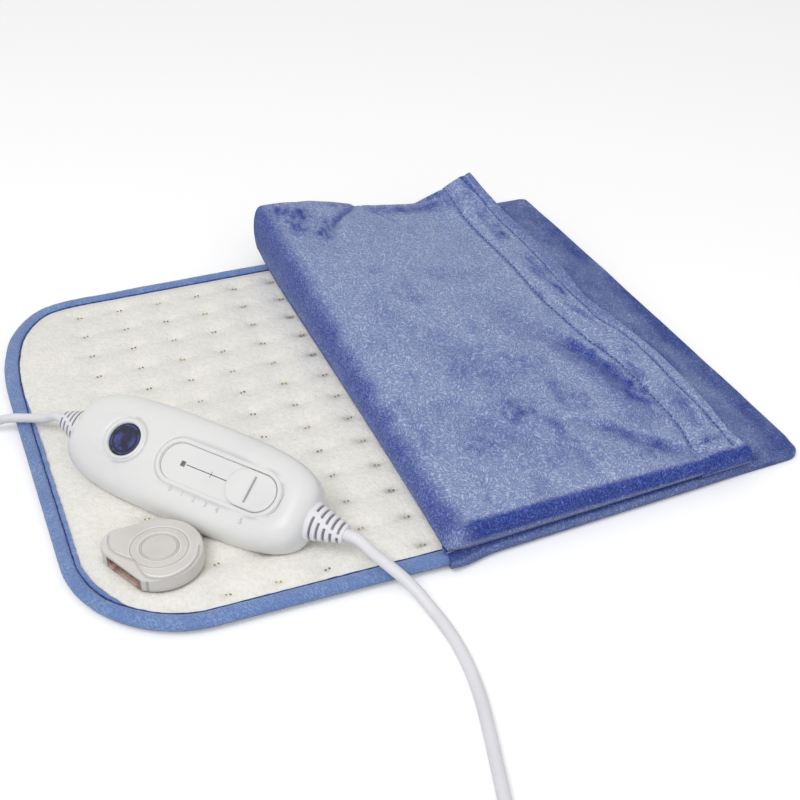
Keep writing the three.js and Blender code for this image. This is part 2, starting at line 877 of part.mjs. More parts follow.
const lensRadius = lensDiameter / 2;
const lensSeat = -lensRecess - lensThickness - touchGap;
const trackSeat = -trackRecess - trackThickness - touchGap;
const boardTop = -boardDepth;
const boardBase = boardTop - boardThickness;

function lensRing() {
  const inside = lensRadius + touchGap;
  const outside = inside + lensRingWidth;
  const profile = [
    new THREE.Vector2(inside, -shellWall / 2),
    new THREE.Vector2(outside, -shellWall / 2),
    new THREE.Vector2(outside, 0),
    new THREE.Vector2(outside - lensRingWidth / 3, lensRingHeight),
    new THREE.Vector2(inside + lensRingWidth / 4, lensRingHeight),
    new THREE.Vector2(inside, 0),
    new THREE.Vector2(inside, -shellWall / 2),
  ];
  return new THREE.LatheGeometry(profile, 32).rotateX(Math.PI / 2).translate(lensX, 0, 0);
}

function topShell() {
  const wallTop = -shellWall / 2;
  const body = join(
    cut(outerCrown, innerCrown),
    trackSpace(trackSeatWidth / 2, -collarDepth, wallTop),
    discAt(lensX, 0, -collarDepth, wallTop, lensRadius + lensSeatWidth),
    discAt(-bossOffset, 0, boardTop + touchGap, wallTop, bossRadius, 16),
    discAt(bossOffset, 0, boardTop + touchGap, wallTop, bossRadius, 16),
  );
  const holeTop = boardTop + touchGap + screwReach;
  const opened = cut(
    body,
    trackSpace(0, trackSeat, cutOverrun),
    trackSpace(-trackSeatWidth, -collarDepth - cutOverrun, cutOverrun),
    discAt(lensX, 0, lensSeat, cutOverrun, lensRadius + touchGap, 32),
    discAt(lensX, 0, -collarDepth - cutOverrun, cutOverrun, lensRadius - lensSeatWidth, 24),
    discAt(-bossOffset, 0, boardTop - cutOverrun, holeTop, bossHoleRadius, 12),
    discAt(bossOffset, 0, boardTop - cutOverrun, holeTop, bossHoleRadius, 12),
    bootHole(-1),
    bootHole(1),
  );
  return join(opened, lensRing());
}

function bottomShell() {
  const bosses = [-1, 1].map((side) => common(
    discAt(side * bossOffset, 0, -keelDepth - cutOverrun, boardBase - touchGap, bossRadius + screwHeadRadius / 2, 16),
    outerKeel,
  ));
  const counterbore = -keelDepth + screwHeadHeight + touchGap;
  const holes = [-1, 1].flatMap((side) => [
    discAt(side * bossOffset, 0, -keelDepth - cutOverrun, cutOverrun, bossHoleRadius, 12),
    discAt(side * bossOffset, 0, -keelDepth - cutOverrun, counterbore, screwHeadRadius + touchGap, 16),
  ]);
  return cut(join(cut(outerKeel, innerKeel), ...bosses), ...holes, bootHole(-1), bootHole(1));
}

function trackPlate() {
  const plate = trackSpace(-touchGap, -trackRecess - trackThickness, -trackRecess);
  const slotEnd = knobX + stemLength / 2 + touchGap;
  const slotStart = knobX - sliderTravel - stemLength / 2 - touchGap;
  const slot = block(
    slotStart,
    slotEnd,
    -slotWidth / 2,
    slotWidth / 2,
    -trackRecess - trackThickness - cutOverrun,
    cutOverrun,
  );
  return cut(plate, slot);
}

function displayLens() {
  const base = -lensRecess - lensThickness;
  const profile = [
    new THREE.Vector2(0, base),
    new THREE.Vector2(lensRadius, base),
    new THREE.Vector2(lensRadius, -lensRecess - lensThickness / 3),
    new THREE.Vector2(lensRadius - lensThickness / 3, -lensRecess),
    new THREE.Vector2(lensRadius / 2, -lensRecess + lensThickness / 6),
    new THREE.Vector2(0, -lensRecess + lensThickness / 5),
  ];
  return new THREE.LatheGeometry(profile, 28).rotateX(Math.PI / 2).translate(lensX, 0, 0);
}

function circuitBoard() {
  const board = prism(stadium(0, boardLength, boardWidth, 4), boardBase, boardTop);
  return cut(
    board,
    discAt(-bossOffset, 0, boardBase - cutOverrun, boardTop + cutOverrun, bossHoleRadius, 12),
    discAt(bossOffset, 0, boardBase - cutOverrun, boardTop + cutOverrun, bossHoleRadius, 12),
  );
}

function slideSwitch() {
  const carriageBase = trackSeat - touchGap - carriageHeight;
  return prism(
    stadium(knobX - sliderTravel / 2, switchLength, switchWidth, 3),
    boardTop + touchGap,
    carriageBase - touchGap,
  );
}

const carriageTop = trackSeat - touchGap;

function sliderKnob() {
  const base = -trackRecess + touchGap;
  const outline = new THREE.Shape(stadium(0, knobLength - 2 * knobBevel, knobWidth - 2 * knobBevel));
  const cap = new THREE.ExtrudeGeometry(outline, {
    depth: knobHeight - knobBevel,
    bevelThickness: knobBevel,
    bevelSize: knobBevel,
    bevelSegments: 2,
  });
  cap.translate(0, 0, base);
  const flush = cut(cap, block(-knobLength, knobLength, -knobWidth, knobWidth, base - cutOverrun, base));
  const top = base + knobHeight;
  const ridge = prism(
    stadium(0, ridgeLength, ridgeWidth, 3),
    top - ridgeHeight,
    top + ridgeHeight,
  ).rotateZ(Math.PI / 2);
  const stem = block(
    -stemLength / 2,
    stemLength / 2,
    -stemThickness / 2,
    stemThickness / 2,
    base - stemDepth,
    base + knobBevel,
  );
  return join(flush, ridge, stem);
}

function sliderCarriage() {
  const frame = block(
    -carriageLength / 2,
    carriageLength / 2,
    -carriageWidth / 2,
    carriageWidth / 2,
    carriageTop - carriageHeight,
    carriageTop,
  );
  const seat = block(
    -stemLength / 2 - touchGap,
    stemLength / 2 + touchGap,
    -stemThickness / 2 - touchGap,
    stemThickness / 2 + touchGap,
    carriageTop - carriageHeight - cutOverrun,
    carriageTop + cutOverrun,
  );
  return cut(frame, seat);
}

function housingScrew(side) {
  const shankTop = boardTop + screwReach;
  const profile = [
    new THREE.Vector2(0, -keelDepth + touchGap),
    new THREE.Vector2(screwHeadRadius, -keelDepth + touchGap),
    new THREE.Vector2(screwHeadRadius, -keelDepth + screwHeadHeight),
    new THREE.Vector2(screwShankRadius, -keelDepth + screwHeadHeight),
    new THREE.Vector2(screwShankRadius, shankTop - screwShankRadius),
    new THREE.Vector2(0, shankTop),
  ];
  return new THREE.LatheGeometry(profile, 12).rotateX(Math.PI / 2).translate(side * bossOffset, 0, 0);
}

// A ribbed cone on the housing's axis, running outwards along +X from the wall's outer face
function boot(length, leadDiameter) {
  const base = bootBaseWidth / 2;
  const end = bootTipWidth / 2;
  const neck = bootNeckWidth / 2;
  const flange = -shellWall - bootFlangeRelief;
  const profile = [
    new THREE.Vector2(0, flange - bootFlangeThickness),
    new THREE.Vector2(base, flange - bootFlangeThickness),
    new THREE.Vector2(base, flange),
    new THREE.Vector2(neck, flange),
    new THREE.Vector2(neck, touchGap),
  ];
  const pitch = (length - touchGap) / bootRibs;
  for (let rib = 0; rib < bootRibs; rib += 1) {
    const start = touchGap + rib * pitch;
    const finish = rib + 1 === bootRibs ? length : start + pitch * 0.62;
    const wide = base + (end - base) * ((rib + 0.2) / bootRibs);
    const narrow = Math.max(wide - bootRibDepth, leadDiameter / 2 + touchGap);
    profile.push(new THREE.Vector2(wide, start));
    profile.push(new THREE.Vector2(wide - pitch / 6, finish));
    if (rib + 1 < bootRibs) {
      profile.push(new THREE.Vector2(narrow - pitch / 6, finish));
      profile.push(new THREE.Vector2(narrow - pitch / 6, start + pitch));
    }
  }
  profile.push(new THREE.Vector2(0, length));
  const cone = new THREE.LatheGeometry(profile, bootSides).rotateZ(-Math.PI / 2);
  return cone.scale(1, 1, bootFlatnessShare).translate(controllerLength / 2, 0, -bootAxisDepth);
}

function boardPiece(x, y, length, width, height) {
  const base = boardTop + touchGap;
  return block(x - length / 2, x + length / 2, y - width / 2, y + width / 2, base, base + height);
}

const white = material(colours.whitePlastic, 0.35);
add('controller_top_shell', topShell(), white, controller);
add('controller_bottom_shell', bottomShell(), white, controller);
add('track_plate', trackPlate(), white, controller);
add('display_lens', displayLens(), material(colours.lensBlue, 0.12), controller);
add('circuit_board', circuitBoard(), material(colours.board, 0.5), controller);
add('slide_switch', slideSwitch(), material(colours.dark, 0.5), controller);
const displayTop = lensSeat - lensSeatWidth;
const display = discAt(lensX, 0, boardTop + touchGap, displayTop, displayRadius, 20);
add('display_module', display, material(colours.dark, 0.4), controller);
const fuse = boardPiece(-lensX / 2, rowOffset, 4 * fuseHeight, fuseHeight, fuseHeight);
add('fuse', fuse, material(colours.steel, 0.3, 0.6), controller);
const triac = boardPiece(trackX + trackLength / 3, rowOffset, 2 * triacHeight, fuseHeight, triacHeight);
add('triac', triac, material(colours.dark, 0.5), controller);
for (const [index, side] of [-1, 1].entries()) {
  add(`housing_screw_${index + 1}`, housingScrew(side), material(colours.steel, 0.3, 0.8), controller);
}
const padBoot = boot(padBootLength, padLeadDiameter);
const mainsBoot = boot(mainsBootLength, mainsLeadDiameter).rotateZ(Math.PI);
add('pad_lead_boot', padBoot, white, controller);
add('mains_lead_boot', mainsBoot, white, controller);

const knob = new THREE.Group();
knob.position.x = knobX;
controller.add(knob);
add('slider_knob', sliderKnob(), white, knob);
add('slider_carriage', sliderCarriage(), material(colours.dark, 0.5), knob);

// Socket, in its own frame: the plug goes in along +X

const socket = new THREE.Group();
socket.position.set(socketX, socketY, crownHeight + touchGap);
socket.rotation.z = THREE.MathUtils.degToRad(socketTurnDegrees);
part.add(socket);

function socketOutline(inset) {
  const lobe = new THREE.Vector2(socketLobeX, socketLobeY);
  const points = [];
  const steps = 36;
  for (let step = 0; step < steps; step += 1) {
    const angle = (step / steps) * 2 * Math.PI;
    const out = new THREE.Vector2(Math.cos(angle), Math.sin(angle));
    const onDisc = socketRadius;
    const onLobe = lobe.dot(out) + socketLobeRadius;
    if (onDisc >= onLobe) points.push(out.multiplyScalar(socketRadius - inset));
    else points.push(lobe.clone().addScaledVector(out, socketLobeRadius - inset));
  }
  return points;
}

function socketFaceCut(inset) {
  const far = 2 * socketRadius;
  return block(socketFace - far, socketFace + inset, -far, far, -cutOverrun, socketHeight + cutOverrun);
}

function socketCover() {
  const shape = new THREE.Shape(socketOutline(socketBevel));
  const body = new THREE.ExtrudeGeometry(shape, {
    depth: socketHeight - socketBevel,
    bevelThickness: socketBevel,
    bevelSize: socketBevel,
    bevelSegments: 2,
  });
  const level = cut(
    body,
    block(-2 * socketRadius, 2 * socketRadius, -2 * socketRadius, 2 * socketRadius, -2 * cutOverrun, 0),
    socketFaceCut(0),
  );
  const baseSpace = cut(
    prism(socketOutline(socketWall), -cutOverrun, socketBaseThickness + touchGap),
    socketFaceCut(socketWall),
  );
  const mouthBase = socketBaseThickness + touchGap + socketWall / 2;
  const mouth = block(
    socketFace - cutOverrun,
    socketFace + socketMouthDepth,
    socketMouthY - socketMouthWidth / 2,
    socketMouthY + socketMouthWidth / 2,
    mouthBase,
    mouthBase + socketMouthHeight,
  );
  const slope = prism([
    new THREE.Vector2(socketFace - cutOverrun, socketHeight - socketSlopeDrop * (1 + cutOverrun / socketSlopeRun)),
    new THREE.Vector2(socketFace + socketSlopeRun, socketHeight),
    new THREE.Vector2(socketFace + socketSlopeRun, socketHeight + cutOverrun),
    new THREE.Vector2(socketFace - cutOverrun, socketHeight + cutOverrun),
  ], -2 * socketRadius, 2 * socketRadius).rotateX(Math.PI / 2);
  const groove = cut(
    discAt(0, 0, socketHeight - socketRingDepth, socketHeight + cutOverrun, socketRingRadius + socketRingWidth, 32),
    discAt(0, 0, 0, socketHeight + 2 * cutOverrun, socketRingRadius, 32),
  );
  const pinSeats = pinPlaces().map((y) => pinBar(y, touchGap));
  return cut(level, baseSpace, mouth, slope, groove, ...pinSeats);
}

function pinPlaces() {
  return [-1, 0, 1].map((place) => socketMouthY + place * pinPitch);
}

function pinBar(y, grow) {
  const back = socketFace + socketMouthDepth;
  const length = pinReach + pinRoot + (grow > 0 ? cutOverrun : 0) - grow;
  const bar = new THREE.CylinderGeometry(pinDiameter / 2 + grow, pinDiameter / 2 + grow, length, 12);
  const height = socketBaseThickness + touchGap + socketWall / 2 + socketMouthHeight / 2;
  return bar.rotateZ(Math.PI / 2).translate(back + pinRoot + (grow > 0 ? grow : 0) - length / 2, y, height);
}

function socketBase() {
  return cut(
    prism(socketOutline(socketWall + touchGap), 0, socketBaseThickness),
    socketFaceCut(socketWall + touchGap),
  );
}

const socketPlastic = material(colours.socketGrey, 0.45);
add('socket_cover', socketCover(), socketPlastic, socket);
add('socket_base', socketBase(), socketPlastic, socket);
pinPlaces().forEach((y, index) => {
  add(`socket_pin_${index + 1}`, pinBar(y, 0), material(colours.brass, 0.35, 0.8), socket);
});

// Leads

function controllerPoint(x, y, z) {
  controllerFoot.updateMatrixWorld(true);
  const at = new THREE.Vector3(x, y, z).applyMatrix4(controller.matrixWorld);
  return at.sub(new THREE.Vector3().setFromMatrixPosition(part.matrixWorld));
}

const mainsExit = controllerPoint(-controllerLength / 2 - mainsBootLength, 0, -bootAxisDepth);
const padExit = controllerPoint(controllerLength / 2 + padBootLength, 0, -bootAxisDepth);
const outOfHousing = padExit.clone().sub(mainsExit).setZ(0).normalize();

function coilOf(plan) {
  const pitch = plan.diameter * coilPitchShare;
  const middle = (plan.diameter * plan.diametersAcross) / 2;
  const reach = plan.turnsInLayer * pitch;
  const turns = plan.turnsInLayer * plan.layers;
  const steps = Math.round(turns * coilStepsPerTurn);
  const base = plan.diameter / 2 + tieThickness + tieClearance;
  const points = [];
  for (let step = 0; step <= steps; step += 1) {
    const turned = (step / steps) * turns;
    const layer = Math.min(Math.floor(turned / plan.turnsInLayer), plan.layers - 1);
    const share = turned / plan.turnsInLayer - layer;
    const inwards = layer % 2 === 0 ? share : 1 - share;
    const radius = middle + reach / 2 - reach * inwards;
    let climbed = 0;
    for (let reversal = 1; reversal < plan.layers; reversal += 1) {
      climbed += ease((turned - reversal * plan.turnsInLayer) / 0.5 + 0.5);
    }
    const angle = plan.startAngle + plan.sense * turned * 2 * Math.PI;
    points.push(new THREE.Vector3(
      plan.x + radius * Math.cos(angle),
      plan.y + radius * Math.sin(angle),
      base + climbed * pitch,
    ));
  }
  return { points, pitch, base, inner: middle - reach / 2, outer: middle + reach / 2 };
}

// The least distance between two turns of a coil, from the surface of one to the next
function leastGap(points, diameter) {
  let least = Infinity;
  const apart = Math.ceil(coilStepsPerTurn / 3);
  for (let a = 0; a < points.length; a += 1) {
    for (let b = a + apart; b < points.length; b += 1) {
      least = Math.min(least, points[a].distanceTo(points[b]));
    }
  }
  return least - diameter;
}

const mainsCoil = coilOf({
  x: mainsCoilX,
  y: mainsCoilY,
  diameter: mainsLeadDiameter,
  diametersAcross: mainsCoilDiametersAcross,
  turnsInLayer: mainsCoilTurnsInLayer,
  layers: mainsCoilLayers,
  startAngle: Math.PI / 2,
  sense: 1,
});
const padCoil = coilOf({
  x: padCoilX,
  y: padCoilY,
  diameter: padLeadDiameter,
  diametersAcross: padCoilDiametersAcross,
  turnsInLayer: padCoilTurnsInLayer,
  layers: padCoilLayers,
  startAngle: 0,
  sense: -1,
});
console.log('least gap in the mains coil', leastGap(mainsCoil.points, mainsLeadDiameter).toFixed(2));
console.log('least gap in the pad coil', leastGap(padCoil.points, padLeadDiameter).toFixed(2));

function straightEnds(points, diameter) {
  const first = points[0].clone().sub(points[1]).setZ(0).normalize();
  const last = points[points.length - 1].clone().sub(points[points.length - 2]).setZ(0).normalize();
  return [
    points[0].clone().addScaledVector(first, diameter),
    ...points,
    points[points.length - 1].clone().addScaledVector(last, diameter),
  ];
}

// A band round the bundle of turns at one angle of the coil
function coilTie(coil, plan, angle) {
  const room = plan.diameter / 2 + tieClearance;
  const low = tieThickness;
  const high = coil.base + (plan.layers - 1) * coil.pitch + room;
  const near = coil.inner - room;
  const far = coil.outer + room;
  const outline = (grow) => roundedOutline(
    near - grow,
    far + grow,
    low - grow,
    high + grow,
    tieClearance + tieThickness,
    3,
  );
  const band = prism(outline(tieThickness), -tieWidth / 2, tieWidth / 2);
  const hollow = prism(outline(0), -tieWidth, tieWidth);
  return cut(band, hollow).rotateX(Math.PI / 2).rotateZ(angle).translate(plan.x, plan.y, 0);
}

const rubberWhite = material(colours.whitePlastic, 0.5);
const mainsCoilPoints = straightEnds(mainsCoil.points, mainsLeadDiameter);
const padCoilPoints = straightEnds(padCoil.points, padLeadDiameter);
add('mains_lead_coil', woundTube(mainsCoilPoints, mainsLeadDiameter / 2, coilSides), rubberWhite);
add('pad_lead_coil', woundTube(padCoilPoints, padLeadDiameter / 2, coilSides), rubberWhite);
const mainsTie = coilTie(
  mainsCoil,
  { x: mainsCoilX, y: mainsCoilY, diameter: mainsLeadDiameter, layers: mainsCoilLayers },
  Math.PI / 4,
);
const padTie = coilTie(
  padCoil,
  { x: padCoilX, y: padCoilY, diameter: padLeadDiameter, layers: padCoilLayers },
  (3 * Math.PI) / 4,
);
add('mains_lead_tie', mainsTie, material(colours.tie, 0.6));
add('pad_lead_tie', padTie, material(colours.tie, 0.6));

function route(list) {
  return list.map(([x, y, z]) => new THREE.Vector3(x, y, z));
}

function beside(point, direction, distance) {
  return point.clone().addScaledVector(direction, distance);
}

// Two points in line with an end of a coil, the nearer one a gap away from it
function onwards(points, atStart, distance) {
  const end = atStart ? points[0] : points[points.length - 1];
  const before = atStart ? points[1] : points[points.length - 2];
  const direction = end.clone().sub(before).normalize();
  return [beside(end, direction, distance), beside(end, direction, touchGap)];
}

const mainsRoute = route([
  [16.6, 177.2, 19.8],
  [6, 190.4, 13.6],
  [-3, 196.6, 11.4],
  [-11, 200.6, 8.2],
  [-19, 203.2, 4.6],
  [-30, 204.8, 3.2],
  [-44, 205.4, 3.6],
]);
const padRoute = route([
  [149.5, 10.2, 19.6],
  [157.4, 0.4, 13.8],
  [163, -8.5, 9.6],
  [167.6, -20, 5],
  [170.4, -34, 3.4],
  [171.2, -52, 3.2],
  [169, -76, 3.2],
  [164, -100, 3.3],
  [158.6, -122, 3.8],
  [154.6, -140, 4.4],
]);
const mainsCoilEnd = mainsCoilPoints[mainsCoilPoints.length - 1];
const padCoilEnd = padCoilPoints[padCoilPoints.length - 1];

const mainsLeadPath = [
  beside(mainsExit, outOfHousing, -touchGap),
  beside(mainsExit, outOfHousing, -mainsLeadDiameter),
  ...mainsRoute,
  ...onwards(mainsCoilPoints, true, mainsLeadDiameter),
];
const padLeadPath = [
  beside(padExit, outOfHousing, touchGap),
  beside(padExit, outOfHousing, padLeadDiameter),
  ...padRoute,
  ...onwards(padCoilPoints, true, padLeadDiameter),
];
add('mains_lead', leadTube(mainsLeadPath, mainsLeadDiameter / 2, 14), rubberWhite);
add('pad_lead', leadTube(padLeadPath, padLeadDiameter / 2, 24), rubberWhite);

// The plugs lie on the floor with their leads in line

const mainsPlugAt = new THREE.Vector3(mainsCoilEnd.x, mainsPlugY, plugThickness / 2);
const couplingAt = new THREE.Vector3(couplingX, padCoilEnd.y, couplingThickness / 2);
const mainsTailPath = [
  ...onwards(mainsCoilPoints, false, mainsLeadDiameter).reverse(),
  ...route([
    [mainsCoilEnd.x, 146, 17.6],
    [mainsCoilEnd.x, 134, 11],
    [mainsCoilEnd.x, 122, 7.2],
  ]),
  beside(mainsPlugAt, new THREE.Vector3(0, 1, 0), mainsLeadDiameter),
  beside(mainsPlugAt, new THREE.Vector3(0, 1, 0), touchGap),
];
const padTailPath = [
  ...onwards(padCoilPoints, false, padLeadDiameter).reverse(),
  ...route([
    [92, padCoilEnd.y, 9.6],
    [76, padCoilEnd.y, 5.6],
  ]),
  beside(couplingAt, new THREE.Vector3(1, 0, 0), padLeadDiameter),
  beside(couplingAt, new THREE.Vector3(1, 0, 0), touchGap),
];
add('mains_lead_tail', leadTube(mainsTailPath, mainsLeadDiameter / 2, 8), rubberWhite);
add('pad_lead_tail', leadTube(padTailPath, padLeadDiameter / 2, 7), rubberWhite);

// A ribbed cone running along +X from its narrow end
function plugBoot(length, narrow, wide, ribs) {
  const profile = [new THREE.Vector2(0, 0)];
  const pitch = length / ribs;
  for (let rib = 0; rib < ribs; rib += 1) {
    const radius = (narrow + (wide - narrow) * ((rib + 0.5) / ribs)) / 2;
    profile.push(new THREE.Vector2(radius, rib * pitch));
    profile.push(new THREE.Vector2(radius, (rib + 0.6) * pitch));
    profile.push(new THREE.Vector2(radius * 0.82, (rib + 0.6) * pitch));
    profile.push(new THREE.Vector2(radius * 0.82, (rib + 1) * pitch));
  }
  profile.push(new THREE.Vector2(wide / 2 * 0.82, length + pitch));
  profile.push(new THREE.Vector2(0, length + pitch));
  return new THREE.LatheGeometry(profile, plugBootSides).rotateZ(-Math.PI / 2);
}

function mainsPlug() {
  const half = plugBodyWidth / 2;
  const neck = plugNeckWidth / 2;
  const back = plugBootLength;
  const front = plugBootLength + plugBodyLength;
  const bevel = plugThickness / 5;
  const shape = new THREE.Shape();
  shape.moveTo(back + bevel, -neck + bevel);
  shape.quadraticCurveTo(back + plugBodyLength / 3, -half + bevel, front - bevel, -half + bevel);
  shape.lineTo(front - bevel, half - bevel);
  shape.quadraticCurveTo(back + plugBodyLength / 3, half - bevel, back + bevel, neck - bevel);
  shape.closePath();
  const body = new THREE.ExtrudeGeometry(shape, {
    depth: plugThickness - 2 * bevel,
    bevelThickness: bevel,
    bevelSize: bevel,
    bevelSegments: 2,
    curveSegments: 6,
  });
  body.translate(0, 0, -plugThickness / 2 + bevel);
  const seats = [-1, 1].map((side) => plugPin(side, touchGap));
  return cut(join(body, plugBoot(plugBootLength, mainsLeadDiameter * 1.7, plugNeckWidth, 5)), ...seats);
}

function plugPin(side, grow) {
  const front = plugBootLength + plugBodyLength;
  const root = plugBodyLength / 5;
  const start = front - root - grow;
  const length = plugPinReach + root + grow + (grow > 0 ? cutOverrun : 0);
  const profile = [
    new THREE.Vector2(0, 0),
    new THREE.Vector2(plugPinDiameter / 2 + grow, 0),
    new THREE.Vector2(plugPinDiameter / 2 + grow, length - plugPinDiameter / 4),
    new THREE.Vector2(plugPinDiameter / 4 + grow, length),
    new THREE.Vector2(0, length),
  ];
  const pin = new THREE.LatheGeometry(profile, 12).rotateZ(-Math.PI / 2);
  return pin.translate(start, side * (plugPinSpacing / 2), 0);
}

function couplingPlug() {
  const back = couplingBootLength;
  const step = back + couplingBodyLength;
  const bevel = couplingThickness / 4;
  const outline = roundedOutline(
    back + bevel,
    step - bevel,
    -couplingBodyWidth / 2 + bevel,
    couplingBodyWidth / 2 - bevel,
    couplingBodyWidth / 4,
    4,
  );
  const body = new THREE.ExtrudeGeometry(new THREE.Shape(outline), {
    depth: couplingThickness - 2 * bevel,
    bevelThickness: bevel,
    bevelSize: bevel,
    bevelSegments: 2,
  });
  body.translate(0, 0, -couplingThickness / 2 + bevel);
  const tongue = block(
    step - bevel,
    step + couplingTongueLength,
    -couplingTongueWidth / 2,
    couplingTongueWidth / 2,
    -couplingTongueHeight / 2,
    couplingTongueHeight / 2,
  );
  const bores = [-1, 0, 1].map((place) => {
    const radius = pinDiameter / 2 + touchGap;
    const bore = new THREE.CylinderGeometry(radius, radius, 2 * couplingTongueLength, 10);
    return bore.rotateZ(Math.PI / 2).translate(step + couplingTongueLength, place * pinPitch, 0);
  });
  const relief = plugBoot(couplingBootLength, padLeadDiameter * 1.2, couplingThickness, 5);
  return cut(join(body, tongue, relief), ...bores);
}

const mainsPlugGroup = new THREE.Group();
mainsPlugGroup.position.copy(mainsPlugAt);
mainsPlugGroup.rotation.z = -Math.PI / 2;
part.add(mainsPlugGroup);
add('mains_plug', mainsPlug(), rubberWhite, mainsPlugGroup);
for (const [index, side] of [-1, 1].entries()) {
  add(`mains_plug_pin_${index + 1}`, plugPin(side, 0), material(colours.steel, 0.25, 0.9), mainsPlugGroup);
}
const couplingGroup = new THREE.Group();
couplingGroup.position.copy(couplingAt);
couplingGroup.rotation.z = Math.PI;
part.add(couplingGroup);
add('coupling_plug', couplingPlug(), rubberWhite, couplingGroup);

export default part;
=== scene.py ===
import math
import random

import bpy
import numpy as np
from mathutils import Matrix, Vector, geometry, noise


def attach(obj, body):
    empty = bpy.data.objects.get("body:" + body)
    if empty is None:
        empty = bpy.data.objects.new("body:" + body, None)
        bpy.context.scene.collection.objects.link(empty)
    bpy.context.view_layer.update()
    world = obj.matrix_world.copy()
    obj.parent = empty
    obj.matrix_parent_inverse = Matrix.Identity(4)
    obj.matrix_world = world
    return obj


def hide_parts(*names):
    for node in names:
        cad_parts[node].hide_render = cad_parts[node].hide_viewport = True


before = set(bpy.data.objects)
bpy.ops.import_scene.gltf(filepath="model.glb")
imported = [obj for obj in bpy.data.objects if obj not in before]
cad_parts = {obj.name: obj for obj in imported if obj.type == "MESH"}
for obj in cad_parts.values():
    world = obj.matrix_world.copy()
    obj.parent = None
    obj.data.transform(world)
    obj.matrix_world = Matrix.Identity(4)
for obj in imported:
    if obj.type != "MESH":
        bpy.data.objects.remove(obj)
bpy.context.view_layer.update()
scene = bpy.context.scene

# Camera. It stands where the photograph was taken, in front of the pad and a little
# to its left, looking down at 36 degrees.
camera = bpy.data.objects.new("camera", bpy.data.cameras.new("camera"))
scene.collection.objects.link(camera)
camera.data.lens = 59.57
camera.data.sensor_width = 36
camera.location = (-0.2058, -0.6122, 0.4613)
looked_at = Vector((0.01385, -0.0292, 0.0072))
camera.rotation_euler = (looked_at - camera.location).to_track_quat("-Z", "Y").to_euler()
scene.camera = camera

# Leads. Two round PVC cables leave the controller, one to the mains and one to the pad.
# What the photograph doesn't show of them is wound into a coil and held by a band.
OBJECT_MIDDLE = Vector((198.8, 169.6, 0))
CABLE_WHITE = "E6E6EA"


def metres(point):
    return (Vector(point) - OBJECT_MIDDLE) / 1000


def paint(code):
    """The linear colour of a hexadecimal sRGB one."""
    parts = [int(code[at:at + 2], 16) / 255 for at in (0, 2, 4)]
    return [p / 12.92 if p <= 0.04045 else ((p + 0.055) / 1.055) ** 2.4 for p in parts] + [1]


def finish_of(name, roughness, colour, tones=None, grit=None, **sockets):
    """A new material with values on its shader's sockets, maybe in two tones and with fine grit."""
    material = bpy.data.materials.new(name)
    material.use_nodes = True
    shader = material.node_tree.nodes["Principled BSDF"]
    for socket, value in {"Roughness": roughness, "Base Color": paint(colour), **sockets}.items():
        shader.inputs[socket.replace("_", " ")].default_value = value
    material.diffuse_color = paint(colour)
    if tones:
        surface(material, "Base Color", toned(material, *tones))
    if grit:
        surface(material, "Normal", gritty(material, *grit))
    return material


def node(material, kind, inputs=(), **settings):
    """A node with its settings, whose inputs are plain values or other nodes' outputs."""
    made = material.node_tree.nodes.new("ShaderNode" + kind)
    for setting, value in settings.items():
        setattr(made, setting, value)
    for socket, value in dict(inputs).items():
        if isinstance(value, bpy.types.NodeSocket):
            material.node_tree.links.new(value, made.inputs[socket])
        else:
            made.inputs[socket].default_value = value
    return made


def surface(material, socket, output):
    shader = material.node_tree.nodes["Principled BSDF"]
    material.node_tree.links.new(output, shader.inputs[socket])


def between(material, share, first, second):
    """A colour between two others, each a code or another node's output."""
    ends = [end if isinstance(end, bpy.types.NodeSocket) else paint(end) for end in (first, second)]
    mixed = node(material, "Mix", {0: share, 6: ends[0], 7: ends[1]}, data_type="RGBA")
    return mixed.outputs[2]


def grain(material, size, detail=3, stretch=(1, 1, 1), turn=0, roughness=0.5):
    """Noise with features of a size in millimetres, times a stretch along turned axes."""
    coordinates = node(material, "TexCoord").outputs["Object"]
    values = {"Vector": coordinates, "Rotation": (0, 0, turn), "Scale": stretch}
    drawn = node(material, "Mapping", values, vector_type="TEXTURE")
    values = {"Vector": drawn.outputs[0], "Scale": 1000 / size, "Detail": detail, "Roughness": roughness}
    return node(material, "TexNoise", values).outputs[0]


def ranged(material, value, low, high, to_low=0, to_high=1):
    values = {"Value": value, 1: low, 2: high, 3: to_low, 4: to_high}
    return node(material, "MapRange", values, interpolation_type="SMOOTHSTEP").outputs[0]


def raised(material, height, depth, strength=1, under=None):
    """A bump of a depth in millimetres, over another bump if there is one."""
    values = {"Height": height, "Distance": depth / 1000, "Strength": strength}
    if under:
        values["Normal"] = under
    return node(material, "Bump", values).outputs[0]


def toned(material, size, first, second, low=0.4, high=0.6, detail=2):
    """A colour that wanders between two in patches of a size."""
    return between(material, ranged(material, grain(material, size, detail), low, high), first, second)


def gritty(material, size, depth, strength=0.5, stretch=(1, 1, 1)):
    """A bump of fine noise."""
    return raised(material, grain(material, size, 2, stretch), depth, strength)


def clamped(value):
    return min(max(value, 0), 1)


def eased(share):
    held = clamped(share)
    return held * held * (3 - 2 * held)


WINDING_PITCH = 1.12
STEPS_A_TURN = 24
BAND_BELOW = 1.6


